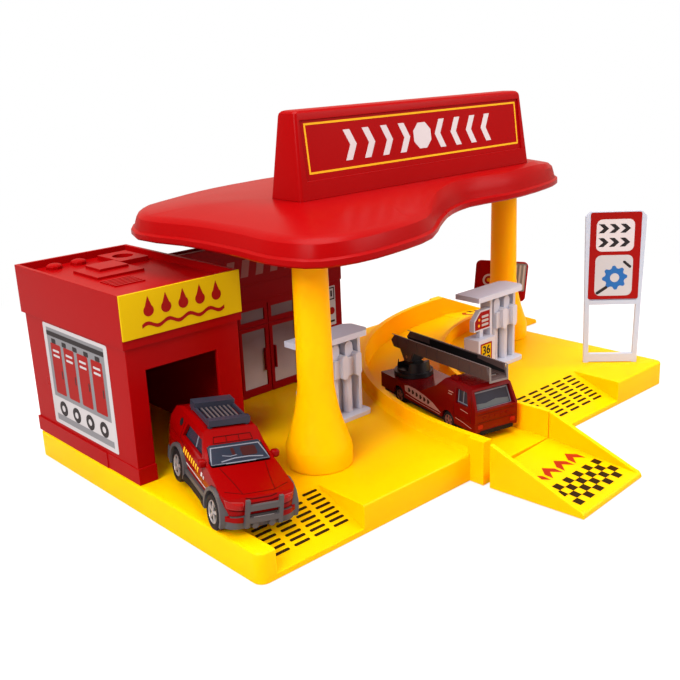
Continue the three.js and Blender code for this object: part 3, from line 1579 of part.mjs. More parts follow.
function truckWindows() {
  const gap = truckShell + turnedGap;
  const floor = truckBodyBottom + truckGlassShares[0][1] * truckBodyHeight + turnedGap;
  const ceiling = truckBodyBottom + truckGlassShares[1][1] * truckBodyHeight - turnedGap;
  const rear = truckFrontOverhang - truckGlassShares[2][0] * truckLength + turnedGap;
  const room = block([rear, -truckHalfWidth, floor], [truckFrontOverhang, truckHalfWidth, ceiling]);
  return truckGlassBlock(gap).intersect(room);
}

function truckChassis() {
  const half = truckHalfWidth - truckShell;
  const front = truckFrontOverhang - truckShell;
  const rear = truckFrontOverhang - truckLength + truckShell;
  const plate = block([rear, -half, truckFloor], [front, half, truckBodyBottom - turnedGap]);
  const wellInner = truckHalfTrack - truckWheelWidth - turnedGap;
  const wells = truckAxles.map((x) => bothSides((hand) => {
    return wheelRoom(x, truckWheelRadius, truckArchRadius, hand, wellInner, half + overrun);
  }));
  const grooves = truckAxles.map((x) => crossRod(x, truckWheelRadius, axleRadius + axleFit, -half, half));
  return plate.subtract(joined([...wells, ...grooves]));
}

// The black turntable: a journal in the bed, a plate, a drum and the lug for the ladder's pin
function turntable() {
  const plateBottom = truckBed + axleFit + seatGap;
  const plateTop = plateBottom + turntablePlate;
  const drumTop = plateTop + drumHeight;
  const profile = [
    [0, truckBed - journalDepth],
    [journalRadius, truckBed - journalDepth],
    [journalRadius, plateBottom],
    [turntableRadius, plateBottom],
    [turntableRadius, plateTop],
    [drumRadius, plateTop],
    [drumRadius - journalDepth / 4, drumTop],
    [0, drumTop],
  ];
  const drum = solidOf(turned(profile, roundFacets));
  const lug = block(
    [-lugLength / 2, -lugWidth / 2, plateTop],
    [lugLength / 2, lugWidth / 2, drumTop + pivotRise],
  );
  const legRoom = bothSides((hand) => {
    const inner = Math.min(hand * lugWidth / 2, hand * turntableRadius);
    const outer = Math.max(hand * lugWidth / 2, hand * turntableRadius);
    return block(
      [-ladderLegLength, inner, plateTop + drumHeight / 4],
      [ladderLegLength, outer, drumTop + overrun],
    );
  });
  const rear = -turntableRadius - overrun;
  const notchFoot = plateTop + turntablePlate / 4;
  const notch = prismAlongY(
    [[-lugLength / 2 - turnedGap, drumTop], [rear, drumTop], [rear, notchFoot], [-drumRadius, notchFoot]],
    -ladderHalfWidth - turnedGap,
    ladderHalfWidth + turnedGap,
  );
  return drum
    .subtract(legRoom)
    .subtract(notch)
    .add(lug)
    .subtract(crossRod(0, pivotHeight(), pivotRadius + pivotFit, -lugWidth, lugWidth));
}

function pivotHeight() {
  return truckBed + axleFit + seatGap + turntablePlate + drumHeight + pivotRise / 2;
}

function ladderPin() {
  const reach = lugWidth / 2 + turnedGap + ladderWall + seatGap;
  return crossRod(0, 0, pivotRadius, -reach, reach);
}

// The ladder: a trough with rungs in its floor and two legs down to the pin, pin at the origin
function ladder() {
  const rear = -ladderRear;
  const tip = ladderLength - ladderRear;
  const floor = ladderLift;
  const top = floor + ladderRail;
  const side = [
    [rear, floor + ladderRail / 2],
    [rear + ladderRail / 3, floor],
    [tip, floor],
    [tip - ladderRail / 3, top],
    [rear + ladderRail / 2, top],
  ];
  const half = ladderHalfWidth;
  const trough = prismAlongY(side, -half, half).subtract(block(
    [rear - overrun, -half + ladderWall, floor + ladderWall],
    [tip + overrun, half - ladderWall, top + overrun],
  ));
  const inner = lugWidth / 2 + turnedGap;
  const outer = inner + ladderWall;
  const legs = [-1, 1].map((hand) => prismAlongY(
    [
      [-ladderLegLength / 2, -pivotRise / 2],
      [ladderLegLength / 2, -pivotRise / 2],
      [ladderGussetLength / 2, floor + ladderWall / 2],
      [-ladderGussetLength / 2, floor + ladderWall / 2],
    ],
    Math.min(hand * inner, hand * outer),
    Math.max(hand * inner, hand * outer),
  ));
  const pitch = (tip - lugLength - rungWidth) / rungCount;
  const gaps = Array.from({ length: rungCount }, (unused, place) => {
    const start = lugLength + place * pitch;
    return block(
      [start, -half + 2 * ladderWall, floor - overrun],
      [start + pitch - rungWidth, half - 2 * ladderWall, floor + ladderWall + overrun],
    );
  });
  return trough
    .add(joined(legs))
    .subtract(joined(gaps))
    .subtract(crossRod(0, 0, pivotRadius + axleFit, -half, half));
}

// A one-piece wheel turned round y, its dished face towards +y
function wheel(radius, width) {
  const hub = radius * hubShare;
  const half = width / 2;
  const bore = axleRadius + axleFit;
  const shoulder = width / 5;
  const profile = [
    [bore, -half],
    [radius, -half],
    [radius, half - shoulder],
    [radius - shoulder, half],
    [hub, half],
    [hub, half - hubDish],
    [bore, half - hubDish],
    [bore, -half],
  ];
  const tyre = turned(profile, wheelFacets);
  tyre.rotateX(-quarterTurn);
  return solidOf(tyre);
}

function axle(halfTrack) {
  return crossRod(0, 0, axleRadius, -halfTrack + axleInset, halfTrack - axleInset);
}

// Adds a named piece, with a material of its own, to a group
function addPiece(parent, name, geometry, finish) {
  const [color, roughness, metalness] = finishes[finish];
  const material = new THREE.MeshStandardMaterial({ color, roughness, metalness });
  const mesh = new THREE.Mesh(geometry, material);
  mesh.name = name;
  parent.add(mesh);
  return mesh;
}

function addAxleWithWheels(parent, name, x, halfTrack, radius, width) {
  const shaft = addPiece(parent, `${name}_axle`, geometryOf(axle(halfTrack)), 'steel');
  shaft.position.set(x, 0, radius);
  for (const [hand, side] of [[1, 'left'], [-1, 'right']]) {
    const geometry = geometryOf(wheel(radius, width));
    const piece = addPiece(parent, `${name}_wheel_${side}`, geometry, 'blackPlastic');
    piece.position.set(x, hand * (halfTrack - width / 2), radius);
    piece.rotation.z = hand > 0 ? 0 : Math.PI;
  }
}

function addStation(parent) {
  addPiece(parent, 'base_deck', geometryOf(baseDeck()), 'yellowPlastic');
  const columns = [['left', leftColumnX, leftColumnY], ['right', rightColumnX, rightColumnY]];
  for (const [name, x, y] of columns) {
    addPiece(parent, `${name}_column`, geometryOf(column()), 'yellowPlastic').position.set(x, y, 0);
  }
  addPiece(parent, 'canopy_roof', geometryOf(canopyRoof()), 'redPlastic');
  addPiece(parent, 'roof_sign_board', geometryOf(roofSignBoard()), 'redPlastic');
  addPiece(parent, 'wash_bay_walls', geometryOf(bayWalls()), 'redPlastic');
  addPiece(parent, 'wash_bay_roof', geometryOf(bayRoof()), 'redPlastic');
  addPiece(parent, 'wash_bay_sign_plate', geometryOf(baySignPlate()), 'yellowPlastic');
  addPiece(parent, 'shop_front', geometryOf(shopFront()), 'darkRedPlastic');
  const islands = [['left', leftIslandX, leftIslandY], ['right', rightIslandX, rightIslandY]];
  for (const [name, x, y] of islands) {
    const island = addPiece(parent, `${name}_pump_island`, geometryOf(pumpIsland()), 'lilacPlastic');
    island.position.set(x, y, deckHeight + seatGap);
  }
  const frame = addPiece(parent, 'workshop_sign_frame', geometryOf(workshopFrame()), 'whitePlastic');
  frame.position.set(frameX, frameY, deckHeight + turnedGap);
  frame.rotation.z = radians(frameTurnDegrees);
  const sign = addPiece(parent, 'small_sign', geometryOf(smallSign()), 'redPlastic');
  sign.position.set(smallSignX, smallSignY, deckHeight + turnedGap);
  sign.rotation.z = radians(smallSignTurnDegrees);
}

function addRamps(parent) {
  const front = addPiece(parent, 'front_ramp', geometryOf(ramp()), 'yellowPlastic');
  const skew = radians(rampSkewDegrees);
  const backY = -landingLength - turnedGap;
  front.rotation.z = skew;
  front.position.set(landingInnerX - rampWidth * Math.cos(skew), backY - rampWidth * Math.sin(skew), 0);
  const side = addPiece(parent, 'side_ramp', geometryOf(ramp()), 'yellowPlastic');
  side.rotation.z = quarterTurn;
  const sideY = roadCentreSetback + roadInnerRadius - innerKerb;
  side.position.set(deckLength + landingLength + turnedGap, sideY, 0);
}

function addSuv(parent) {
  const car = new THREE.Group();
  car.position.set(suvX, suvY, suvHeight);
  car.rotation.set(radians(suvRollDegrees), radians(suvPitchDegrees), radians(suvHeadingDegrees), 'ZYX');
  addPiece(car, 'suv_body', geometryOf(suvBody()), 'redEnamel');
  addPiece(car, 'suv_windows', geometryOf(suvWindows()), 'smokedPlastic');
  addPiece(car, 'suv_chassis', geometryOf(suvChassis()), 'greyPlastic');
  addPiece(car, 'suv_roof_rack', geometryOf(suvRoofRack()), 'greyPlastic');
  addAxleWithWheels(car, 'suv_front', 0, suvHalfTrack, suvWheelRadius, suvWheelWidth);
  addAxleWithWheels(car, 'suv_rear', -suvWheelbase, suvHalfTrack, suvWheelRadius, suvWheelWidth);
  parent.add(car);
}

function addTruck(parent) {
  const car = new THREE.Group();
  car.position.set(truckX, truckY, roadHeight + wheelGroundGap);
  car.rotation.z = radians(truckHeadingDegrees);
  addPiece(car, 'truck_body', geometryOf(truckBody()), 'darkRedEnamel');
  addPiece(car, 'truck_windows', geometryOf(truckWindows()), 'smokedPlastic');
  addPiece(car, 'truck_chassis', geometryOf(truckChassis()), 'blackPlastic');
  const table = addPiece(car, 'truck_turntable', geometryOf(turntable()), 'blackPlastic');
  table.position.x = -turntableSetback;
  const arm = new THREE.Group();
  arm.position.set(-turntableSetback, 0, pivotHeight());
  arm.rotation.y = radians(-ladderPitchDegrees);
  addPiece(arm, 'truck_ladder', geometryOf(ladder()), 'brownGreyPlastic');
  addPiece(arm, 'truck_ladder_pin', geometryOf(ladderPin()), 'steel');
  car.add(arm);
  addAxleWithWheels(car, 'truck_front', 0, truckHalfTrack, truckWheelRadius, truckWheelWidth);
  addAxleWithWheels(car, 'truck_rear', -truckWheelbase, truckHalfTrack, truckWheelRadius, truckWheelWidth);
  parent.add(car);
}

const model = new THREE.Group();
addStation(model);
addRamps(model);
addSuv(model);
addTruck(model);

// The origin is the middle of the whole part's box, at its underside
const bounds = new THREE.Box3().setFromObject(model);
const middle = bounds.getCenter(new THREE.Vector3());
model.position.set(-middle.x, -middle.y, -bounds.min.z);

const fireStation = new THREE.Group();
fireStation.add(model);

export default fireStation;
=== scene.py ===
from itertools import product
from math import copysign, cos, hypot, pi, radians, sin, tau

import bmesh
import bpy
from mathutils import Matrix, Vector
from mathutils.bvhtree import BVHTree


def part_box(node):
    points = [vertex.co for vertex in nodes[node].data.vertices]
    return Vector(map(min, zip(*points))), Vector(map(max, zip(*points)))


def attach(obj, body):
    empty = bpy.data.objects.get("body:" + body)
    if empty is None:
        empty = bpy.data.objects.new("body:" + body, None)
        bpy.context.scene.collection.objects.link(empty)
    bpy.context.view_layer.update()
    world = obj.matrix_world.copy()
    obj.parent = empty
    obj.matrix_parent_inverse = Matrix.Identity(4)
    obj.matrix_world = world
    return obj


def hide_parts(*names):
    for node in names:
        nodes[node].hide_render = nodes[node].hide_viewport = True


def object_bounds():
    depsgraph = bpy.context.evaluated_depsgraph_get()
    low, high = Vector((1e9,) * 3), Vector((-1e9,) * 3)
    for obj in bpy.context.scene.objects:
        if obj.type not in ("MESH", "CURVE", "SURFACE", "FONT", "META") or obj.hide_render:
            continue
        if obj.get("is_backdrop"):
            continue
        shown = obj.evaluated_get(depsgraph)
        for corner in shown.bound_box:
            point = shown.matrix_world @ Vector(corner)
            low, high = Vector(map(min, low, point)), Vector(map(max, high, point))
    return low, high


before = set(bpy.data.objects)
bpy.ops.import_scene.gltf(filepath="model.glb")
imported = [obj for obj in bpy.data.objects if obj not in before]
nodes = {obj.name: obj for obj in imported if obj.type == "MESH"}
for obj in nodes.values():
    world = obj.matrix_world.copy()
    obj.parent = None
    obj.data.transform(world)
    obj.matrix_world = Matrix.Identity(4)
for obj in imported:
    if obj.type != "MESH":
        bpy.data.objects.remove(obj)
cad_low, cad_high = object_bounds()

# The deck's own frame: millimetres from the front left corner of the yellow base, where
# the whole playset is measured from. x runs along the front edge, y to the back, z up.
landing_depth = 7.4
deck_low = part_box("base_deck")[0]
deck_frame = (
    Matrix.Translation((deck_low[0], deck_low[1] + landing_depth / 1000, 0.0))
    @ Matrix.Scale(0.001, 4)
)


# Camera and light: the photograph's own viewing angle from the front left corner, soft
# studio light from the left and above, and white paper under and behind the toy.
def in_scene(name, data):
    """A new object that shows this data."""
    thing = bpy.data.objects.new(name, data)
    bpy.context.scene.collection.objects.link(thing)
    return thing


camera_data = bpy.data.cameras.new("studio_camera")
camera_data.sensor_width = 36.0
camera_data.lens = 48.31
camera_data.clip_start = 0.01
camera_data.clip_end = 20.0
camera = in_scene("studio_camera", camera_data)
camera.location = deck_frame @ Vector((-166.65, -232.14, 178.45))
camera.rotation_euler = [radians(turn) for turn in (72.796, 2.393, -42.825)]
bpy.context.scene.camera = camera
bpy.context.scene.view_settings.view_transform = "Standard"


def set_inputs(node, values):
    """Sets numbers and colours on a node's own sockets."""
    for socket, value in values.items():
        node.inputs[socket].default_value = value


def node_maker(tree):
    """Adds nodes to one tree, each with its kind of sum and its own numbers set."""
    def add(kind, values=None, operation=None):
        node = tree.nodes.new(kind)
        if operation:
            node.operation = operation
        set_inputs(node, values or {})
        return node
    return add


def wire(tree, *rows):
    """Joins sockets: giver, output, taker and input, or a run of nodes by their first ones."""
    for row in rows:
        if type(row[1]) in (str, int):
            tree.links.new(row[0].outputs[row[1]], row[2].inputs[row[3]])
        else:
            for giver, taker in zip(row, row[1:]):
                tree.links.new(giver.outputs[0], taker.inputs[0])


paper_colour = (1.0, 1.0, 1.0, 1.0)
fill_colour = (1.0, 0.64, 0.55, 1.0)
world = bpy.data.worlds.new("studio")
bpy.context.scene.world = world
world.use_nodes = True
sky = world.node_tree
sky.nodes.clear()
add = node_maker(sky)
seen_directly = add("ShaderNodeLightPath")
any_seen = add("ShaderNodeMath", operation="MAXIMUM")
paper_white = add("ShaderNodeBackground", {0: paper_colour, 1: 1.0})
soft_fill = add("ShaderNodeBackground", {0: fill_colour, 1: 0.80})
choose = add("ShaderNodeMixShader")
sky_out = add("ShaderNodeOutputWorld")
wire(
    sky, (seen_directly, "Is Camera Ray", any_seen, 0),
    (seen_directly, "Is Transmission Ray", any_seen, 1), (any_seen, choose, sky_out),
    (soft_fill, 0, choose, 1), (paper_white, 0, choose, 2),
)

lamp_aim = Vector((0.0, 0.0, 0.05))
for lamp_name, place, size, watts in (
    ("key_softbox", (-1.15, -0.35, 0.95), 0.8, 24.0),
    ("side_softbox", (0.85, -0.95, 0.8), 0.8, 11.4),
    ("top_softbox", (0.1, 0.15, 1.4), 1.0, 18.2),
):
    lamp_data = bpy.data.lights.new(lamp_name, "AREA")
    lamp_data.shape = "SQUARE"
    lamp_data.size = size
    lamp_data.energy = watts
    lamp = in_scene(lamp_name, lamp_data)
    lamp.location = place
    lamp.rotation_euler = (lamp_aim - Vector(place)).to_track_quat("-Z", "Y").to_euler()


def paper_material(near=0.22, far=0.42, lift=0.5):
    """Pale paper that keeps the toy's shadow near it and fades to plain white further off."""
    paper = bpy.data.materials.new("floor_paper")
    paper.use_nodes = True
    tree = paper.node_tree
    shader = tree.nodes["Principled BSDF"]
    set_inputs(shader, {
        "Base Color": (0.43, 0.43, 0.43, 1.0), "Roughness": 0.9, "Emission Color": paper_colour,
    })
    add = node_maker(tree)
    path = add("ShaderNodeLightPath")
    glow_near = add("ShaderNodeMath", {1: lift}, "MULTIPLY")
    where = add("ShaderNodeTexCoord")
    reach = add("ShaderNodeVectorMath", operation="LENGTH")
    fade = add("ShaderNodeMapRange", {"From Min": near, "From Max": far})
    fade.interpolation_type = "SMOOTHSTEP"
    seen_far = add("ShaderNodeMath", operation="MULTIPLY")
    white = add("ShaderNodeEmission")
    join = add("ShaderNodeMixShader")
    wire(
        tree, (path, "Is Camera Ray", glow_near, 0),
        (glow_near, 0, shader, "Emission Strength"), (where, "Object", reach, 0),
        (reach, "Value", fade, 0), (path, "Is Camera Ray", seen_far, 1),
        (fade, seen_far, join, tree.nodes["Material Output"]),
        (shader, "BSDF", join, 1), (white, "Emission", join, 2),
    )
    return paper


floor_half, floor_drop = 6.0, 0.0004
floor_mesh = bpy.data.meshes.new("paper_floor")
floor_mesh.from_pydata(
    [(x * floor_half, y * floor_half, -floor_drop)
     for x, y in ((-1, -1), (1, -1), (1, 1), (-1, 1))], [], [(0, 1, 2, 3)],
)
floor_mesh.materials.append(paper_material())
paper_floor = in_scene("paper_floor", floor_mesh)
paper_floor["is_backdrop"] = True


# Base deck: one yellow moulding with the curved road, plugged together with all that
# stands on it. Its plastic is a bright, slightly waxy yellow with a soft gloss.
def open_group(name, kind, inputs, outputs):
    """A node group with its named inputs and outputs, a maker for it and its end nodes."""
    group = bpy.data.node_groups.new(name, kind)
    for way, sockets in (("INPUT", inputs), ("OUTPUT", outputs)):
        for label, value in sockets.items():
            group.interface.new_socket(name=label, in_out=way, socket_type="NodeSocket" + value)
    add = node_maker(group)
    return group, add, add("NodeGroupInput"), add("NodeGroupOutput")


def plastic_skin_group():
    """Slow colour drift, a faint moulding texture and gloss that changes a little."""
    group, add, entry, leave = open_group(
        "plastic_skin", "ShaderNodeTree", {"Colour": "Color", "Drift": "Float", "Gloss": "Float"},
        {"Colour": "Color", "Roughness": "Float", "Height": "Float"},
    )
    gloss_change = 0.03
    where = add("ShaderNodeTexCoord")
    flow = add("ShaderNodeTexNoise", {"Scale": 14.0, "Detail": 3.0})
    grain = add("ShaderNodeTexNoise", {"Scale": 900.0, "Detail": 2.0})
    spread = add(
        "ShaderNodeMapRange", {"From Min": 0.3, "From Max": 0.7, "To Min": -1.0, "To Max": 1.0}
    )
    amount = add("ShaderNodeMath", {2: 1.0}, "MULTIPLY_ADD")
    shade = add("ShaderNodeVectorMath", operation="SCALE")
    polish = add("ShaderNodeMath", {1: gloss_change}, "MULTIPLY_ADD")
    wire(
        group, (where, "Object", flow, "Vector"), (where, "Object", grain, "Vector"),
        (flow, spread, amount), (entry, "Drift", amount, 1), (entry, shade, leave),
        (amount, 0, shade, "Scale"), (spread, polish), (entry, "Gloss", polish, 2),
        (polish, 0, leave, "Roughness"), (grain, 0, leave, "Height"),
    )
    return group


plastic_skin = plastic_skin_group()
grain_depth = 0.00002
grain_strength = 0.35
coat_roughness = 0.08


def surface(name, colour, roughness, drift=0.03, metallic=0.0, glow=0.0,
            glow_radius=(1.0, 0.4, 0.1), glow_depth=0.004, coat=0.0, shine=0.05):
    """A material of this toy: its colour drifts a little, and light sinks in by glow."""
    finish = bpy.data.materials.new(name)
    finish.use_nodes = True
    tree = finish.node_tree
    shader = tree.nodes["Principled BSDF"]
    skin = tree.nodes.new("ShaderNodeGroup")
    skin.node_tree = plastic_skin
    set_inputs(skin, {"Colour": (*colour, 1.0), "Drift": drift, "Gloss": roughness})
    relief = node_maker(tree)(
        "ShaderNodeBump", {"Strength": grain_strength, "Distance": grain_depth}
    )
    wire(
        tree, (skin, "Colour", shader, "Base Color"), (skin, "Roughness", shader, "Roughness"),
        (skin, "Height", relief, "Height"), (relief, "Normal", shader, "Normal"),
    )
    set_inputs(shader, {
        "Metallic": metallic, "Specular IOR Level": shine, "Coat Weight": coat,
        "Coat Roughness": coat_roughness, "Subsurface Weight": glow,
        "Subsurface Radius": glow_radius, "Subsurface Scale": glow_depth,
    })
    return finish


def soft_edge_tree():
    """Welds a moulding's faces and shades its gentle curves smooth, its edges sharp."""
    tree, add, entry, leave = open_group(
        "soft_edges", "GeometryNodeTree", {"Geometry": "Geometry", "Sharp Angle": "Float"},
        {"Geometry": "Geometry"},
    )
    tree.interface.items_tree["Sharp Angle"].default_value = radians(28)
    weld_reach = 0.000002
    weld = add("GeometryNodeMergeByDistance", {"Distance": weld_reach})
    smooth = add("GeometryNodeSetShadeSmooth")
    crease = add("GeometryNodeSetShadeSmooth")
    crease.domain = "EDGE"
    bend = add("GeometryNodeInputMeshEdgeAngle")
    gentle = add("FunctionNodeCompare", operation="LESS_THAN")
    wire(
        tree, (entry, weld, smooth, crease, leave), (bend, "Unsigned Angle", gentle, "A"),
        (entry, "Sharp Angle", gentle, "B"), (gentle, "Result", crease, "Shade Smooth"),
    )
    return tree


soft_edges = soft_edge_tree()


def dress(node, finish, edge=0.00035, steps=2):
    """Gives a moulding its material and the small radius of its tool on every edge."""
    piece = nodes[node]
    for place in range(len(piece.material_slots)):
        piece.material_slots[place].material = finish
    weld = piece.modifiers.new("soft_edges", "NODES")
    weld.node_group = soft_edges
    if edge:
        flats = piece.modifiers.new("whole_faces", "DECIMATE")
        flats.decimate_type = "DISSOLVE"
        flats.angle_limit = radians(0.6)
        rounding = piece.modifiers.new("tool_radius", "BEVEL")
        rounding.width = edge
        rounding.segments = steps
        rounding.limit_method = "ANGLE"
        rounding.angle_limit = radians(35)
        rounding.harden_normals = True


yellow_plastic = surface(
    "yellow_plastic", (1.0, 0.465, 0.0), 0.34, glow=0.5, glow_radius=(1.0, 0.2, 0.01),
    glow_depth=0.009,
)
dress("base_deck", yellow_plastic, edge=0.0005)


# Grille prints: dark brown round-ended dashes, pad-printed in rows on both sloped
# recesses of the deck, so cars seem to drive over drains.
def plane_at(frame_matrix, corner, along=(1, 0, 0), up=(0, 0, 1)):
    """A plane's own millimetres: u along, v up the face and the third out of the face."""
    u = Vector(along).normalized()
    v = Vector(up).normalized()
    turn = Matrix((u, v, u.cross(v).normalized())).transposed().to_4x4()
    return frame_matrix @ Matrix.Translation(corner) @ turn


def plain_mesh(thing):
    """What an object's modifiers or text come to, as a mesh."""
    bpy.context.view_layer.update()
    ready = thing.evaluated_get(bpy.context.evaluated_depsgraph_get())
    return bpy.data.meshes.new_from_object(ready)


def grown(name, tree, settings, plane, body):
    """Runs a geometry tree once and keeps the result as a plain mesh of the toy."""
    seed_mesh = bpy.data.meshes.new(name)
    piece = in_scene(name, seed_mesh)
    grow = piece.modifiers.new("grow", "NODES")
    grow.node_group = tree
    for item in tree.interface.items_tree:
        if item.item_type == "SOCKET" and item.in_out == "INPUT" and item.name in settings:
            grow[item.identifier] = settings[item.name]
    plain = plain_mesh(piece)
    piece.modifiers.remove(grow)
    plain.transform(plane)
    piece.data = plain
    bpy.data.meshes.remove(seed_mesh)
    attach(piece, body)


def dash_tree(name, finish):
    """Rows and columns of one round-ended dash, centred on the plane's origin."""
    sizes = dict.fromkeys(("Pitch Across", "Pitch Up", "Length", "Width", "Depth"), "Float")
    tree, add, entry, leave = open_group(
        name, "GeometryNodeTree", {"Columns": "Int", "Rows": "Int", **sizes},
        {"Geometry": "Geometry"},
    )
    end_share = 0.48
    grid = add("GeometryNodeMeshGrid")
    for count, pitch, size, points in (
        ("Columns", "Pitch Across", "Size X", "Vertices X"),
        ("Rows", "Pitch Up", "Size Y", "Vertices Y"),
    ):
        whole = add("ShaderNodeMath", operation="MULTIPLY")
        span = add("ShaderNodeMath", operation="SUBTRACT")
        wire(
            tree, (entry, count, whole, 0), (entry, pitch, whole, 1), (whole, span),
            (entry, pitch, span, 1), (span, 0, grid, size), (entry, count, grid, points),
        )
    outline = add("GeometryNodeCurvePrimitiveQuadrilateral")
    ends = add("GeometryNodeFilletCurve")
    ends.mode = "POLY"
    ends.inputs["Count"].default_value = 4
    half = add("ShaderNodeMath", {1: end_share}, "MULTIPLY")
    fill = add("GeometryNodeFillCurve")
    fill.mode = "NGONS"
    raise_up = add("GeometryNodeExtrudeMesh")
    under = add("GeometryNodeFlipFaces")
    both = add("GeometryNodeJoinGeometry")
    closed = add("GeometryNodeMergeByDistance", {"Distance": 0.0001})
    scatter = add("GeometryNodeInstanceOnPoints")
    solid = add("GeometryNodeRealizeInstances")
    paint = add("GeometryNodeSetMaterial", {"Material": finish})
    wire(
        tree, (entry, "Length", outline, "Width"), (entry, "Width", outline, "Height"),
        (entry, "Width", half, 0), (half, 0, ends, "Radius"), (outline, ends, fill, raise_up, both),
        (entry, "Depth", raise_up, "Offset Scale"), (fill, under, both, closed),
        (closed, "Geometry", scatter, "Instance"), (grid, scatter, solid, paint, leave),
    )
    return tree


brown_ink = surface("brown_ink", (0.02, 0.0086, 0.0014), 0.42, drift=0.12)
dash_rows = dash_tree("dash_rows", brown_ink)
dash_rise = 2.6
recess_length = 27.2
recess_toe = 2.2
deck_height = 12.4
recess_rise = deck_height - recess_toe
slope_share = hypot(recess_length, recess_rise) / recess_length
middle_y = 16.0
middle_z = recess_toe + middle_y * recess_rise / recess_length
for grille_name, centre_x, columns, pitch in (
    ("left_grille_print", 30.6, 4, 10.0), ("right_grille_print", 201.35, 6, 10.14)
):
    grown(
        grille_name, dash_rows,
        {"Columns": columns, "Rows": 8, "Pitch Across": pitch,
         "Pitch Up": dash_rise * slope_share, "Length": 7.6, "Width": 1.25, "Depth": 0.06},
        plane_at(
            deck_frame, (centre_x, middle_y, middle_z), up=(0.0, recess_length, recess_rise)
        ),
        "station",
    )


# Ramps: the same yellow moulding as the deck, hooked over its two landings, each with a
# dark checker print at the toe and a row of red arrows that point up to the road.
def modelled(name, build, finish, body):
    """Drawn faces as a piece of one finish that rides on a body."""
    bmesh.ops.recalc_face_normals(build, faces=build.faces)
    mesh = bpy.data.meshes.new(name)
    build.to_mesh(mesh)
    build.free()
    mesh.materials.append(finish)
    piece = in_scene(name, mesh)
    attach(piece, body)
    return piece


def flat(name, plane, shapes, finish, body="station", low=-0.03, high=0.06):
    """A thin printed or pressed layer: outlines in a plane's millimetres, given a depth."""
    build = bmesh.new()
    for shape in shapes:
        under = [build.verts.new(plane @ Vector((u, v, low))) for u, v in shape]
        over = [build.verts.new(plane @ Vector((u, v, high))) for u, v in shape]
        build.faces.new(over)
        build.faces.new(list(reversed(under)))
        for place in range(len(shape)):
            after = (place + 1) % len(shape)
            build.faces.new((under[place], under[after], over[after], over[place]))
    modelled(name, build, finish, body)


def bar(u, v, width, height, corner=0.0, turn=0.0):
    """A rectangle's outline about its middle, with round corners."""
    steps = 4
    points = []
    corner = min(corner, width / 2, height / 2)
    for su, sv, start in ((1, -1, -90), (1, 1, 0), (-1, 1, 90), (-1, -1, 180)):
        cu, cv = su * (width / 2 - corner), sv * (height / 2 - corner)
        for step in range(steps + 1 if corner else 1):
            angle = radians(start + 90 * step / steps)
            points.append((cu + corner * cos(angle), cv + corner * sin(angle)))
    c, s = cos(turn), sin(turn)
    return [(u + c * a - s * b, v + s * a + c * b) for a, b in points]


red_ink = surface("red_ink", (0.32, 0.02, 0.004), 0.4, drift=0.08)
ramp_width = 49.4
ramp_length = 44.8
road_height = 7.2
ramp_toe = 2.2
ramp_fall = (road_height - ramp_toe) / ramp_length
ramp_skew = radians(3.5)
joint_gap = 0.3
landing_right = 165.0
road_centre_y = 4.8
road_inner = 118.4
inner_kerb = 2.4
deck_length = 281.0
cell = 3.95
checker_columns = 10
checker_rows = 4
checker_left, checker_low = 5.6, -40.4
arrow_half, arrow_low, arrow_thick, arrow_rise = 3.9, -21.4, 4.2, 4.0
front_ramp_frame = (
    deck_frame
    @ Matrix.Translation((landing_right - ramp_width * cos(ramp_skew),
                          -landing_depth - joint_gap - ramp_width * sin(ramp_skew), 0))
    @ Matrix.Rotation(ramp_skew, 4, "Z")
)
side_ramp_frame = (
    deck_frame
    @ Matrix.Translation((deck_length + landing_depth + joint_gap,
                          road_centre_y + road_inner - inner_kerb, 0))
    @ Matrix.Rotation(radians(90), 4, "Z")
)
for ramp, ramp_frame in (("front_ramp", front_ramp_frame), ("side_ramp", side_ramp_frame)):
    dress(ramp, yellow_plastic, edge=0.0004)
    ramp_top = plane_at(ramp_frame, (0, 0, road_height), up=(0, 1, ramp_fall))
    squares = [
        bar(checker_left + (column + 0.5) * cell, checker_low + (row + 0.5) * cell, cell, cell)
        for row in range(checker_rows) for column in range(checker_columns)
        if (row + column) % 2 == 0
    ]
    flat(f"{ramp}_checker_print", ramp_top, squares, brown_ink, ramp)
    arrows = []
    for tip_u in (10.4, 19.9, 29.4, 38.9):
        lower = [(tip_u - arrow_half, arrow_low), (tip_u, arrow_low + arrow_rise),
                 (tip_u + arrow_half, arrow_low)]
        arrows.append(lower + [(u, v + arrow_thick) for u, v in reversed(lower)])
    flat(f"{ramp}_arrow_print", ramp_top, arrows, red_ink, ramp)

# Columns: two hollow-looking flared columns in the deck's yellow, plugged into the deck
# and into the sockets under the canopy.
for column in ("left_column", "right_column"):
    dress(column, yellow_plastic, edge=0.0004)

# Canopy: one thin red dome with a rolled shoulder and a small lip round its rim. It is
# moulded in the glossy red of the wash bay and sits on the two columns.
red_plastic = surface(
    "red_plastic", (0.275, 0.00071, 0.0014), 0.3, glow=0.12, glow_radius=(1.0, 0.1, 0.05),
    glow_depth=0.002,
)
dress("canopy_roof", red_plastic, edge=0.0003)


# Roof sign board: a hollow red board with a sunk panel on its front. A thin yellow line
# frames a row of plain white arrows to both sides of an octagon, all printed.
def disc(u, v, radius, steps=24, start=0.0):
    """A round outline, or a regular one with few steps."""
    return [
        (u + radius * cos(start + tau * k / steps),
         v + radius * sin(start + tau * k / steps))
        for k in range(steps)
    ]


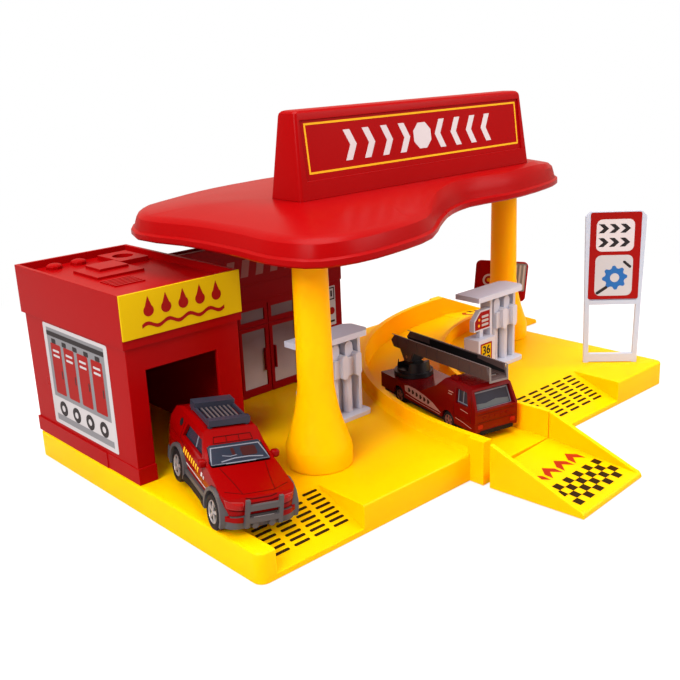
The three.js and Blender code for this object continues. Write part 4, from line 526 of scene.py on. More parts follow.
dress("roof_sign_board", red_plastic, edge=0.0008, steps=3)
board_foot = 119.7
board_front = 68.8
board_lean = 4.4 / 35.6
board_sunk = 0.8
board_face = plane_at(deck_frame, (0, board_front + board_sunk, board_foot), up=(0, board_lean, 1))
yellow_ink = surface("yellow_ink", (0.7143, 0.4, 0.0143), 0.4, drift=0.04)
white_ink = surface("white_ink", (0.5286, 0.5143, 0.5286), 0.42, drift=0.03)
line_low, line_high = 11.2, 32.2
line_left, line_right = 94.0, 241.5
line = 0.9
flat(
    "sign_board_line", board_face,
    [bar((line_left + line_right) / 2, v, line_right - line_left + line, line)
     for v in (line_low, line_high)]
    + [bar(u, (line_low + line_high) / 2, line, line_high - line_low - line)
       for u in (line_left, line_right)],
    yellow_ink,
)
mark_low, mark_high = 14.6, 28.2
mark_middle = (mark_low + mark_high) / 2
mark_first, mark_pitch = 116.0, 11.8
mark_width, mark_point, mark_shift = 4.0, 3.6, 5.2
octagon_u, octagon_radius = mark_first + 4 * mark_pitch + 4.4, 6.6
marks = []
for place, way in zip((0, 1, 2, 3, 5, 6, 7, 8), (1, 1, 1, 1, -1, -1, -1, -1)):
    left = mark_first + place * mark_pitch + (mark_shift if way < 0 else 0)
    right = left + mark_width
    marks.append([
        (left, mark_low), (right, mark_low), (right + way * mark_point, mark_middle),
        (right, mark_high), (left, mark_high), (left + way * mark_point, mark_middle),
    ])
marks.append(disc(octagon_u, mark_middle, octagon_radius, steps=8, start=pi / 8))
flat("sign_board_marks", board_face, marks, white_ink)

# Wash bay: red walls with a wide doorway, a sticker of lockers and hoses on the side and
# a red lid with a parapet, air vents and raised pads on top.
for bay_part in ("wash_bay_walls", "wash_bay_roof"):
    dress(bay_part, red_plastic, edge=0.0004)
bay_side = plane_at(deck_frame, (1.2, 0, 0), (0, -1, 0))
sticker_grey = surface("sticker_grey", (0.1786, 0.1929, 0.2071), 0.3, drift=0.1)
sticker_pale = surface("sticker_pale", (0.4286, 0.4429, 0.4571), 0.3, drift=0.08)
sticker_dark = surface("sticker_dark", (0.0214, 0.02, 0.0214), 0.32, drift=0.15)
sticker_red = surface("sticker_red", (0.2571, 0.0057, 0.0043), 0.3, drift=0.1)
sticker_low, sticker_high = 21.5, 70.0
sticker_back, sticker_front = -154.3, -96.2
middle_u = (sticker_back + sticker_front) / 2
middle_v = (sticker_low + sticker_high) / 2
wall_width = 52.0
hose_height = 30.2
lockers, locker_trim, locker_dark = [], [], []
for place in range(4):
    centre = middle_u - 18.6 + place * 12.4
    lockers.append(bar(centre, middle_v + 3.5, 9.6, 24.0, 0.8))
    locker_trim.append(bar(centre, middle_v + 12.2, 6.0, 1.0, 0.3))
    locker_trim.append(bar(centre, middle_v + 9.8, 6.0, 1.0, 0.3))
    locker_dark.append(bar(centre + 3.4, middle_v + 1.5, 0.9, 4.0, 0.4))
    locker_dark.append(disc(centre, hose_height, 3.6))
    locker_trim.append(disc(centre, hose_height, 1.5, steps=16))
wall = [bar(middle_u, middle_v + 6.0, wall_width, 33.0), bar(middle_u, 25.0, wall_width, 3.0)]
beam = [bar(middle_u, 65.6, wall_width, 2.2)]
beam += [bar(middle_u - 20 + 10 * k, 62.4, 4.0, 2.2, 0.5) for k in range(5)]
ground = [bar(middle_u, middle_v, sticker_front - sticker_back, sticker_high - sticker_low, 1.0)]
for layer, shapes, finish, high in (
    ("ground", ground, sticker_pale, 0.08), ("wall", wall, sticker_grey, 0.12),
    ("lockers", lockers, sticker_red, 0.16), ("trim", locker_trim, sticker_pale, 0.24),
    ("dark", locker_dark, sticker_dark, 0.2), ("beam", beam, sticker_dark, 0.18),
):
    flat(f"bay_sticker_{layer}", bay_side, shapes, finish, high=high)

# Wash bay sign: a yellow plate pegged to the lid's front, printed with a row of dark red
# drops over one wave of water.
yellow_sign = surface("yellow_sign", (0.56, 0.40, 0.0014), 0.4, drift=0.04)
dress("wash_bay_sign_plate", yellow_sign, edge=0.0002)
plate_front = 79.05
sign_face = plane_at(deck_frame, (0, plate_front, 0))
drop_radius, drop_height, drop_tip = 2.4, 85.6, 91.6
drops = []
for centre in (12.6 + place * 8.2 for place in range(5)):
    turns = [radians(-230 + 280 * step / 17) for step in range(18)]
    drop = [(centre + drop_radius * cos(a), drop_height + drop_radius * sin(a)) for a in turns]
    drops.append(drop + [(centre, drop_tip)])
wave_height, wave_swing, wave_half = 79.6, 0.9, 0.8
wave = [(9.0 + step, wave_height + wave_swing * sin(tau * step / 10)) for step in range(41)]
crest = [(u, v + wave_half) for u, v in reversed(wave)]
drops.append([(u, v - wave_half) for u, v in wave] + crest)
flat("wash_sign_print", sign_face, drops, sticker_red)


# Shop front: a dark red moulded front with a fascia, a double door and a row of upper
# panes. Silvery grey films lie in the panes, with painted light low down and painted shade
# towards the top, and two small notices are stuck beside them.
def stroke(points, width, closed=False):
    """A drawn line's outline, one four-cornered shape for each stretch, with mitred bends."""
    count = len(points)
    sides = []
    for place in range(count):
        here = Vector(points[place])
        back = Vector(points[(place - 1) % count]) if closed or place else None
        ahead = Vector(points[(place + 1) % count]) if closed or place < count - 1 else None
        first = (here - back).normalized() if back is not None else (ahead - here).normalized()
        second = (ahead - here).normalized() if ahead is not None else first
        bend = (first + second).normalized()
        across = Vector((-bend.y, bend.x))
        reach = width / 2 / max(0.4, bend.dot(first))
        sides.append((here + across * reach, here - across * reach))
    shapes = []
    for place in range(count if closed else count - 1):
        after = (place + 1) % count
        shapes.append([sides[place][1], sides[after][1], sides[after][0], sides[place][0]])
    return shapes


dark_red_plastic = surface(
    "dark_red_plastic", (0.2286, 0.0021, 0.0043), 0.38, glow=0.1, glow_radius=(1.0, 0.1, 0.05),
    glow_depth=0.002,
)
dress("shop_front", dark_red_plastic, edge=0.0002)
front_plane = 128.0
pane_depth = 0.7
front_centre = 109.555
pane_face = plane_at(deck_frame, (front_centre, front_plane + pane_depth, 0))
# The films' painted light and shade: pale at their foot, darkening towards their head, with a
# little cloud.
film_foot, film_head = 0.016, 0.05
silver_film_painted_shading = bpy.data.materials.new("silver_film_painted_shading")
silver_film_painted_shading.use_nodes = True
film = silver_film_painted_shading.node_tree
film_shader = film.nodes["Principled BSDF"]
add = node_maker(film)
set_inputs(film_shader, {"Roughness": 0.22})
where = add("ShaderNodeTexCoord")
split = add("ShaderNodeSeparateXYZ")
fade = add("ShaderNodeMapRange", {"From Min": film_foot, "From Max": film_head})
cloud = add("ShaderNodeTexNoise", {"Scale": 60.0})
mixed = add("ShaderNodeMath", {1: 0.35}, "MULTIPLY_ADD")
tint = add("ShaderNodeValToRGB")
film_painted_lit_end, film_painted_shade_end = tint.color_ramp.elements
film_painted_lit_end.position = 0.1
film_painted_lit_end.color = (0.42, 0.4, 0.42, 1.0)
film_painted_shade_end.color = (0.13, 0.09, 0.1, 1.0)
wire(
    film, (where, "Object", split, 0), (split, "Z", fade, 0), (where, "Object", cloud, 0),
    (fade, 0, mixed, 2), (cloud, mixed, tint, film_shader),
)
pane_gap, pane_width, pane_play = 4.8, 14.9, 0.3
panes = []
for side in (-1, 1):
    centre = side * (pane_gap + pane_width) / 2
    for low, high in ((16.5, 47.3), (52.2, 58.2)):
        panes.append(bar(centre, (low + high) / 2, pane_width - pane_play,
                         high - low - pane_play))
flat("shop_pane_films", pane_face, panes, silver_film_painted_shading)
notice_face = plane_at(deck_frame, (153.5, front_plane, 0))
notices = [bar(0, 55.9, 5.6, 8.8, 0.4), bar(0, 45.0, 5.6, 13.2, 0.4)]
notice_marks = stroke([(-1.9, 53.0), (1.9, 53.0), (1.9, 59.2), (-1.9, 59.2)], 0.7, closed=True)
notice_marks += [bar(0, 56.1, 1.2, 3.4, 0.3), bar(0, 40.6, 3.8, 1.2, 0.3)]
flat("shop_notices", notice_face, notices, sticker_pale)
flat("shop_notice_marks", notice_face, notice_marks, sticker_dark, high=0.1)
flat("shop_notice_disc", notice_face, [disc(0, 46.4, 2.1)], sticker_red, high=0.1)
fascia_depth = 1.6
fascia_face = plane_at(deck_frame, (front_centre, front_plane - fascia_depth, 0))
fascia_pink = surface("fascia_pink", (0.2857, 0.1214, 0.1143), 0.4, drift=0.08)
pennants = []
for place in range(10):
    left = -44.6 + 9.3 * place
    pennants.append([(left, 76.4), (left + 4.6, 76.4), (left + 6.4, 85.2), (left + 1.8, 85.2)])
flat("shop_fascia_marks", fascia_face, pennants, fascia_pink)

# Pump islands: two of one pale moulding, each with a dark red sticker on the price sign
# and a yellow one with plain numbers on the cabinet.
pale_plastic = surface(
    "pale_plastic", (0.51, 0.56, 0.66), 0.4, glow=0.15, glow_radius=(1.0, 0.8, 0.7),
    glow_depth=0.002,
)
price_set_back, cabinet_set_back = 4.4, 1.4
cabinet_u, cabinet_v = 8.0, 9.6
price_outline = [(2.2, 23.8), (14.6, 23.8), (14.6, 33.2), (6.8, 33.2), (2.2, 28.6)]
price_bars = [bar(10.6, 25.8 + 2.3 * row, 5.6, 1.3, 0.3) for row in range(3)]
price_dots = [disc(5.4, 26.0, 0.8, 12), disc(5.6, 29.2, 0.8, 12)]
for island, island_x, island_y, numbers in (
    ("left_pump_island", 82.4, 66.0, "12\n24"), ("right_pump_island", 196.0, 60.0, "36\n48")
):
    dress(island, pale_plastic, edge=0.00025)
    island_front = plane_at(deck_frame, (island_x, island_y, deck_height + 0.1))
    price_face = island_front @ Matrix.Translation((0, 0, -price_set_back))
    cabinet_face = island_front @ Matrix.Translation((0, 0, -cabinet_set_back))
    for print_name, face, shapes, finish, high in (
        ("price_sticker", price_face, [price_outline], sticker_red, 0.06),
        ("price_bars", price_face, price_bars, sticker_pale, 0.1),
        ("price_dots", price_face, price_dots, yellow_ink, 0.1),
        ("cabinet_sticker", cabinet_face, [bar(cabinet_u, cabinet_v, 9.6, 14.0, 0.6)],
         sticker_red, 0.06),
        ("number_field", cabinet_face, [bar(cabinet_u, cabinet_v, 7.8, 12.2, 0.4)],
         yellow_sign, 0.1),
    ):
        flat(f"{island}_{print_name}", face, shapes, finish, high=high)
    number_curve = bpy.data.curves.new(f"{island}_number", "FONT")
    number_curve.body = numbers
    number_curve.size = 6.6
    number_curve.offset = 0.16
    number_curve.space_line = 0.86
    number_curve.align_x = "CENTER"
    number_curve.align_y = "CENTER"
    number_curve.extrude = 0.06
    number_maker = in_scene(f"{island}_number_maker", number_curve)
    number_mesh = plain_mesh(number_maker)
    bpy.data.objects.remove(number_maker)
    number_mesh.transform(cabinet_face @ Matrix.Translation((cabinet_u, cabinet_v, 0.1)))
    number_mesh.materials.clear()
    number_mesh.materials.append(sticker_dark)
    number_piece = in_scene(f"{island}_number", number_mesh)
    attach(number_piece, "station")

# Workshop sign: a white moulded frame plugged into the deck at an angle. Its red sticker
# has a white field with dark arrows above, and a grey one with a cogwheel and two tools.
white_plastic = surface(
    "white_plastic", (0.42, 0.49, 0.58), 0.36, glow=0.1, glow_radius=(1, 1, 1),
    glow_depth=0.001,
)
dress("workshop_sign_frame", white_plastic, edge=0.0004)
sign_turn = radians(-47.3)
panel_front = 1.3
workshop_face = (
    plane_at(deck_frame, (252, 32, 0), (cos(sign_turn), sin(sign_turn), 0))
    @ Matrix.Translation((0, 0, panel_front))
)
blue_ink = surface("blue_ink", (0.0214, 0.1143, 0.3429), 0.3, drift=0.15)
chevrons = []
for v, u in product((79.2, 86.6), (6.6, 12.2, 17.8)):
    chevrons.append([(u - 1.4, v - 2.4), (u + 1.4, v - 2.4), (u + 4.0, v),
                     (u + 1.4, v + 2.4), (u - 1.4, v + 2.4), (u + 1.2, v)])
gear_u, gear_v = 14.6, 60.0
gear = []
for step in range(32):
    radius = 6.6 if step % 4 < 2 else 5.2
    angle = tau * step / 32
    gear.append((gear_u + radius * cos(angle), gear_v + radius * sin(angle)))
tools = [bar(8.0, 53.2, 7.0, 1.6, 0.8, 0.6), bar(20.8, 67.2, 5.4, 1.4, 0.7, -0.7)]
sticker = [bar(14.1, 71.7, 26.4, 47.0, 1.0)]
flat("workshop_sticker", workshop_face, sticker, sticker_red, low=-0.75)
for print_name, shapes, finish, high in (
    ("white_field", [bar(14.0, 82.9, 19.6, 17.2, 3.0)], white_ink, 0.1),
    ("grey_field", [bar(14.0, 61.2, 19.6, 22.2, 3.0)], sticker_pale, 0.1),
    ("chevrons", chevrons, sticker_dark, 0.14), ("gear", [gear], blue_ink, 0.14),
    ("gear_hub", [disc(gear_u, gear_v, 2.4)], sticker_pale, 0.2),
    ("tools", tools, sticker_dark, 0.18),
):
    flat(f"workshop_{print_name}", workshop_face, shapes, finish, high=high)

# Small sign: a red plate tilted on its post behind the right column, with a slatted grey
# field and a plain white ring.
dress("small_sign", red_plastic, edge=0.0003)
small_turn = radians(-43)
small_tilt = radians(5)
turn_c, turn_s = cos(small_turn), sin(small_turn)
tilt_c, tilt_s = cos(small_tilt), sin(small_tilt)
small_face = plane_at(
    deck_frame, (274.4, 107.6, 30.2), (tilt_c * turn_c, tilt_c * turn_s, -tilt_s),
    (tilt_s * turn_c, tilt_s * turn_s, tilt_c),
) @ Matrix.Translation((0, 0, 0.8))
ring_u, ring_v, ring_radius = -7.6, 13.0, 3.2
ring = stroke(disc(ring_u, ring_v, ring_radius, steps=20), 1.2, closed=True)
slats = [bar(3.6 + 2.5 * k, 15.4, 1.1, 15.4, 0.3) for k in range(5)]
flat("small_sign_field", small_face, [bar(8.6, 15.4, 12.6, 17.4, 0.8)], sticker_grey)
flat("small_sign_slats", small_face, slats, sticker_pale, high=0.12)
flat("small_sign_ring", small_face, ring, white_ink)
flat("small_sign_dot", small_face, [disc(ring_u, ring_v, 1.2)], yellow_ink)


# Off-roader: a small die-cast car in red enamel with a grey plastic lower body, smoked
# windows and a blue-grey roof rack, all plugged together. Its lamps, lines and panes' edges
# are pressed or printed on.
def laid(name, node, plane, shapes, finish, body, lift=0.1, rounds=2, reach=12.0):
    """A thin layer that follows a moulding: outlines thrown on to it against the plane's out."""
    skin = nodes[node].data
    target = BVHTree.FromPolygons(
        [vert.co for vert in skin.vertices], [list(face.vertices) for face in skin.polygons]
    )
    out = (plane.to_3x3() @ Vector((0, 0, 1))).normalized()
    build = bmesh.new()
    for shape in shapes:
        build.faces.new([build.verts.new((u, v, 0.0)) for u, v in shape])
    bmesh.ops.triangulate(build, faces=build.faces)
    for _ in range(rounds):
        bmesh.ops.subdivide_edges(build, edges=build.edges, cuts=1, use_grid_fill=True)
    missed = []
    for vert in build.verts:
        place = target.ray_cast(plane @ Vector((vert.co.x, vert.co.y, reach)), -out)[0]
        if place is None:
            missed.append(vert)
        else:
            vert.co = place + out * lift / 1000
    bmesh.ops.delete(build, geom=missed, context="VERTS")
    rim = [edge.link_loops[0] for edge in build.edges if edge.is_boundary]
    rim = [(loop.vert, loop.link_loop_next.vert) for loop in rim]
    faces = [list(face.verts) for face in build.faces]
    sink = out * (lift + 0.05) / 1000
    under = {vert: build.verts.new(vert.co - sink) for vert in list(build.verts)}
    for face in faces:
        build.faces.new([under[vert] for vert in reversed(face)])
    for first, second in rim:
        build.faces.new((second, first, under[first], under[second]))
    modelled(name, build, finish, body)


def strokes(width, *runs):
    """Several drawn lines of one width."""
    return [shape for run in runs for shape in stroke(run, width)]


def lay(car, *rows):
    """Thin layers on a car: layer, moulding, plane, outlines, finish, lift and rounds."""
    for layer, node, plane, shapes, finish, lift, rounds in rows:
        laid(f"{car}_{layer}", f"{car}_{node}", plane, shapes, finish, car, lift, rounds)


red_enamel = surface(
    "red_enamel", (0.1929, 0.00036, 0.00057), 0.2, drift=0.05, coat=0.02, shine=0.09
)
grey_plastic = surface("grey_plastic", (0.0607, 0.0607, 0.0629), 0.36, drift=0.08, shine=0.2143)
rack_plastic = surface("rack_plastic", (0.0229, 0.0264, 0.0414), 0.3, drift=0.4, shine=0.25)
smoked_plastic = surface("smoked_plastic", (0.0157, 0.0229, 0.0357), 0.08, drift=0.5, shine=0.3929)
dress("suv_body", red_enamel, edge=0.0005)
dress("suv_chassis", grey_plastic, edge=0.0003)
dress("suv_windows", smoked_plastic, edge=0.0002)
dress("suv_roof_rack", rack_plastic, edge=0.0002)
suv_frame = (
    deck_frame
    @ Matrix.Translation((14.2, 23.6, 11.69))
    @ Matrix.Rotation(radians(-105.3), 4, "Z")
    @ Matrix.Rotation(radians(3.51), 4, "Y")
    @ Matrix.Rotation(radians(-5.61), 4, "X")
)
suv_front = plane_at(suv_frame, (10.8, 0, 0), (0, 1, 0))
suv_hood = plane_at(suv_frame, (-10.9, 0, 19.6), (0, 1, 0), (-1, 0, 0.19))
suv_screen = plane_at(suv_frame, (-10.6, 0, 19.7), (0, 1, 0), (-8.6, 0, 4.0))
suv_rear = plane_at(suv_frame, (-59.2, 0, 0), (0, -1, 0))
lens_red = surface("lens_red", (0.26, 0.004, 0.004), 0.14, drift=0.1, shine=0.2)
lens_rim = surface("lens_rim", (0.24, 0.03, 0.028), 0.2, drift=0.2, shine=0.2)
line_red = surface("line_red", (0.05, 0.00071, 0.00071), 0.35, drift=0.1)
pale_edge = surface("pale_edge", (0.1429, 0.1643, 0.2), 0.22, drift=0.2, shine=0.4286)
seat_brown = surface("seat_brown", (0.0357, 0.01, 0.01), 0.3, drift=0.2)
silver_paint = surface("silver_paint", (0.3571, 0.35, 0.3429), 0.28, drift=0.05, metallic=0.5)
lamp = ((13.9, 15.3), (7.4, 14.4), (7.9, 12.0), (13.3, 12.6))
apron = ((7.7, 7.1), (13.9, 7.7), (13.9, 9.5), (7.7, 9.5))
lamps, aprons = ([[(hand * y, z) for y, z in shape] for hand in (-1, 1)] for shape in (lamp, apron))
lamp_rims = [shape for lamp in lamps for shape in stroke(lamp, 0.18, closed=True)]
grille = strokes(0.32, *(
    [(-half, z + 0.5), (-half * 0.6, z), (half * 0.6, z), (half, z + 0.5)]
    for z, half in ((15.1, 6.2), (13.9, 6.6), (12.7, 6.4), (11.3, 12.6))
))
hood = strokes(
    0.24, [(-9.4, -1.2), (-7.6, -10.0), (-6.4, -18.2)], [(9.4, -1.2), (7.6, -10.0), (6.4, -18.2)]
)
hood += stroke([(-12.6, -15.6), (-6.0, -18.4), (6.0, -18.4), (12.6, -15.6)], 0.28)
screen_edge = stroke([(-12.1, 0.6), (12.1, 0.6), (9.9, 8.8), (-9.9, 8.8)], 0.48, closed=True)
seats = [bar(4.8, 5.6, 6.4, 4.6, 1.0), bar(-1.6, 6.0, 1.4, 3.6, 0.6)]
dashboard = stroke([(-7.6, 1.7), (-2.0, 2.7), (4.0, 2.7), (9.6, 1.9)], 0.5)
dashboard += stroke([(-6.4, 4.6), (-3.4, 3.8), (-0.6, 4.2)], 0.3)
brow = stroke([(-8.2, 10.6), (8.2, 10.6), (7.6, 13.0), (-7.6, 13.0)], 0.3, closed=True)
brow += strokes(0.26, [(-2.6, 10.6), (-2.6, 13.0)], [(2.6, 10.6), (2.6, 13.0)])
lay(
    "suv", ("headlamps", "body", suv_front, lamps, lens_red, 0.16, 3),
    ("headlamp_rims", "body", suv_front, lamp_rims, lens_rim, 0.22, 3),
    ("front_apron", "chassis", suv_front, aprons, red_enamel, 0.3, 3),
    ("grille_lines", "body", suv_front, grille, line_red, 0.08, 3),
    ("hood_lines", "body", suv_hood, hood, line_red, 0.07, 3),
    ("screen_edge", "windows", suv_screen, screen_edge, pale_edge, 0.12, 2),
    ("seats", "windows", suv_screen, seats, seat_brown, 0.08, 2),
    ("dashboard", "windows", suv_screen, dashboard, pale_edge, 0.1, 2),
    ("brow_panel", "body", suv_screen, brow, line_red, 0.1, 2),
)
# Painted highlights: a lighter grey laid on the tops of the rack's slats, where light falls from
# above.
rack_slat_highlight = surface("rack_slat_highlight", (0.085, 0.072, 0.075), 0.36, drift=0.2)
flat(
    "suv_rack_slat_highlights", plane_at(suv_frame, (-35.4, 0, 29.6), up=(0, 1, 0)),
    [bar(0.6, -5.7 + 1.9 * place, 13.6, 0.7, 0.3) for place in range(7)], rack_slat_highlight, "suv",
    low=1.2, high=1.56,
)
tail_lamps = [bar(hand * 11.6, 15.4, 2.4, 4.6, 0.6) for hand in (-1, 1)]
tailgate = stroke([(-9.4, 11.0), (9.4, 11.0), (8.6, 18.0), (-8.6, 18.0)], 0.26, closed=True)
lay(
    "suv", ("tail_lamps", "body", suv_rear, tail_lamps, lens_red, 0.2, 2),
    ("tailgate_lines", "body", suv_rear, tailgate, line_red, 0.08, 2),
)


# Off-roader's sides: door gaps, a white line over the sills with yellow slanted marks on it,
# painted shade in black under the sills, a grey pillar and a painted highlight streak in each
# side window, a round vent painted black inside as shade, and a red mirror.
hands = ((-1, "right"), (1, "left"))


def lay_sides(car, car_frame, half_width, areas, lines):
    """Thin layers on both sides of a car: areas as they are, and lines in their first turn."""
    for hand, side_name in hands:
        plane = plane_at(car_frame, (0, hand * half_width, 0), (-hand, 0, 0))
        for rows, way in ((areas, 1), (lines, -hand)):
            for layer, node, shapes, finish, lift, rounds in rows:
                seen = [[(-hand * x, z) for x, z in shape[::way]] for shape in shapes]
                lay(car, (f"{side_name}_{layer}", node, plane, seen, finish, lift, rounds))


# Near-black painted shade: under the sills, inside the round vents and on the ladder rails' inner
# sides.
painted_shade_black = surface("painted_shade_black", (0.0086, 0.0086, 0.0093), 0.5, drift=0.2)
slants = []
for place in range(8):
    x = -36.4 + 2.35 * place
    z = 16.6 - 0.16 * place
    slants.append([(x, z - 1.3), (x + 1.3, z - 1.3), (x + 1.9, z + 1.1), (x + 0.6, z + 1.1)])
badges = [[(-15.6, 14.4), (-14.2, 14.4), (-13.6, 16.2), (-15.0, 16.2)],
          [(-13.2, 14.2), (-12.2, 14.2), (-11.8, 15.6), (-12.8, 15.6)]]
gaps = strokes(
    0.24, [(-15.2, 20.2), (-14.0, 16.0), (-14.4, 10.2)],
    [(-28.6, 26.8), (-29.2, 19.0), (-28.8, 10.2)], [(-41.6, 25.6), (-42.0, 19.4), (-36.6, 17.6)],
)
# Painted shade: a black band on the chassis under the sills, where the gap to the deck is dark.
sill = [[(-32.9, 4.65), (-8.5, 4.65), (-9.6, 7.3), (-31.8, 7.7)]]
# The first stroke is the window pillar; the slanted second stroke is a painted highlight on the
# glass.
pillar_and_highlight = stroke([(-28.4, 20.4), (-29.6, 26.4)], 0.9) + stroke([(-20.4, 21.6), (-23.4, 25.0)], 0.5)
sill_line = stroke([(-33.0, 12.0), (-20.0, 11.5), (-9.2, 11.3)], 0.34)
lay_sides(
    "suv", suv_frame, 14.6,
    (("marks", "body", slants, yellow_ink, 0.1, 1), ("badges", "body", badges, white_ink, 0.1, 1),
     ("sill_shade", "chassis", sill, painted_shade_black, 0.12, 2)),
    (("line", "body", sill_line, white_ink, 0.1, 2), ("door_gaps", "body", gaps, line_red, 0.06, 2),
     ("pillar_and_highlight", "windows", pillar_and_highlight, pale_edge, 0.12, 2)),
)
mirror_place, mirror_half = (-13.4, 15.1, 20.5), (1.5, 1.7, 1.6)
mirror_roundness = 0.62
# Each side: a black disc sunk in the round vent as painted shade, and a red mirror.
for hand, side_name in hands:
    flat(
        f"suv_{side_name}_vent_shade_disc",
        plane_at(suv_frame, (-45.2, hand * 12.42, 24.4), (-hand, 0, 0), (0, -hand * 0.297, 0.955)),
        [disc(0, 0, 1.5)], painted_shade_black, "suv", low=-0.5, high=0.1,
    )
    build = bmesh.new()
    bmesh.ops.create_uvsphere(build, u_segments=20, v_segments=12, radius=1.0)
    for vert in build.verts:
        x, y, z = Vector([copysign(abs(part) ** mirror_roundness, part) for part in vert.co])
        vert.co = suv_frame @ Vector((
            mirror_place[0] + mirror_half[0] * x, hand * mirror_place[1] + mirror_half[1] * y,
            mirror_place[2] + mirror_half[2] * z,
        ))
    for face in build.faces:
        face.smooth = True
    modelled(f"suv_{side_name}_mirror", build, red_enamel, "suv")


# Off-roader's underside and bull bar: a black plate between the wheels as painted shade
# under the car, a silver winch plate on the lower bar and a bright lens in each round lamp.
def turned(name, plane, profile, finish, body, steps=32):
    """A round piece about the plane's out: radius and height, ends on the axis or closed."""
    build = bmesh.new()
    rings = []
    for radius, height in profile:
        if radius == 0:
            rings.append([build.verts.new(plane @ Vector((0, 0, height)))] * steps)
        else:
            rings.append([
                build.verts.new(plane @ Vector((u, v, height)))
                for u, v in disc(0.0, 0.0, radius, steps)
            ])
    closed = profile[0][0] > 0
    for place in range(len(rings) if closed else len(rings) - 1):
        lower, upper = rings[place], rings[(place + 1) % len(rings)]
        for k in range(steps):
            ends = []
            for vert in (lower[k], lower[(k + 1) % steps], upper[(k + 1) % steps], upper[k]):
                if vert not in ends:
                    ends.append(vert)
            build.faces.new(ends).smooth = True
    bmesh.ops.recalc_face_normals(build, faces=build.faces)
    for edge in build.edges:
        if len(edge.link_faces) == 2:
            edge.smooth = edge.calc_face_angle(0.0) < radians(32)
    return modelled(name, build, finish, body)


black_plastic = surface("black_plastic", (0.0086, 0.0086, 0.0093), 0.42, drift=0.2)
# Painted shade: a black plate under the car's floor.
flat(
    "suv_belly_painted_shade", plane_at(suv_frame, (0, 0, 3.4), up=(0, 1, 0)),
    [bar(-20.7, 0, 22.4, 25.6, 1.4)], black_plastic, "suv", low=0.0, high=1.4,
)
flat(
    "suv_winch_plate", plane_at(suv_frame, (12.6, 0, 0), (0, 1, 0)),
    [bar(0, 8.4, 8.6, 1.9, 0.5)], silver_paint, "suv", high=0.35,
)
lens_profile = [(0, -0.2), (1.05, -0.2), (1.15, 0.0), (1.0, 0.3), (0.6, 0.5), (0, 0.56)]
for hand, side_name in hands:
    lens_face = plane_at(suv_frame, (12.27, hand * 3.3, 5.9), (0, 1, 0))
    turned(f"suv_{side_name}_lamp_lens", lens_face, lens_profile, silver_paint, "suv", steps=20)

# Wheels of both cars: black tyres with rounded shoulders and tread blocks stand for the
# plain ones, and a bright spoked wheel sits in each. The axles are plain steel.
steel = surface("steel", (0.4286, 0.4286, 0.4429), 0.3, metallic=1.0)
hub_pink = surface("hub_pink", (0.3, 0.1429, 0.1143), 0.3, drift=0.2, metallic=0.6)
for axle in ("suv_front", "suv_rear", "truck_front", "truck_rear"):
    dress(f"{axle}_axle", steel, edge=0)
truck_frame = (
    deck_frame @ Matrix.Translation((151.18, 30.29, 7.5))
    @ Matrix.Rotation(radians(-103), 4, "Z")
)
hub_share = 0.66
block_depth = 0.3
block_faces = ((0, 1, 2, 3), (4, 5, 6, 7), (0, 1, 5, 4), (1, 2, 6, 5), (2, 3, 7, 6), (3, 0, 4, 7))
cars = (
    ("suv", suv_frame, 41.4, 7.0, 5.0, 15.5, 26, silver_paint),
    ("truck", truck_frame, 41.8, 4.4, 3.6, 11.9, 20, hub_pink),
)
for make, axle, (hand, side_name) in product(cars, ("front", "rear"), hands):
    car, car_frame, wheelbase, radius, width, outer, lugs, rim_finish = make
    wheel = f"{car}_{axle}_wheel_{side_name}"
    body = f"{car}_{axle}_wheels"
    x = 0.0 if axle == "front" else -wheelbase
    face = plane_at(car_frame, (x, hand * outer, radius), (-hand, 0, 0))
    hub = radius * hub_share
    tyre = turned(
        f"{wheel}_tyre", face,
        [(1.0, -width), (radius * 0.8, -width), (radius - 0.5, -width + 0.1),
         (radius - 0.12, -width + 0.5), (radius - 0.12, -0.75), (radius - 0.5, -0.2),
         (radius * 0.8, 0.0), (hub + 0.2, -0.02), (hub, -0.15), (hub, -0.9), (1.0, -0.9)],
        black_plastic, body, steps=56,
    )
    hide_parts(wheel)
    build = bmesh.new()
    half = tau / lugs * 0.3
    outlines = ((-block_depth, -half), (-block_depth, half), (0.0, half * 0.8), (0.0, -half * 0.8))
    rows = ((-width + 0.6, -width / 2 - 0.15), (-width / 2 + 0.15, -0.8))
    for row, depths in enumerate(rows):
        for lug in range(lugs):
            middle = tau * (lug + 0.5 * row) / lugs
            ends = [
                build.verts.new(face @ Vector((
                    (radius + reach) * cos(middle + turn),
                    (radius + reach) * sin(middle + turn), depth,
                )))
                for depth in depths for reach, turn in outlines
            ]
            for corners in block_faces:
                build.faces.new([ends[corner] for corner in corners])
    modelled(f"{wheel}_tread", build, black_plastic, body)
    rim = [(hub * 0.86, -0.88), (hub * 0.97, -0.88), (hub * 0.97, -0.3), (hub * 0.94, -0.2),
           (hub * 0.89, -0.22), (hub * 0.87, -0.4)]
    turned(f"{wheel}_rim", face, rim, rim_finish, body, steps=40)
    spokes = []
    spoke = ((hub * 0.12, hub * 0.1), (hub * 0.12, -hub * 0.1),
             (hub * 0.88, -hub * 0.15), (hub * 0.88, hub * 0.15))
    for place in range(5):
        c, s = cos(radians(90 + 72 * place)), sin(radians(90 + 72 * place))
        spokes.append([(c * r - s * t, s * r + c * t) for r, t in spoke])
    flat(f"{wheel}_spokes", face, spokes, rim_finish, body, low=-0.86, high=-0.3)
    cap = [(0, -0.86), (hub * 0.2, -0.86), (hub * 0.2, -0.25), (hub * 0.15, -0.15), (0, -0.12)]
    turned(f"{wheel}_cap", face, cap, rim_finish, body, steps=24)

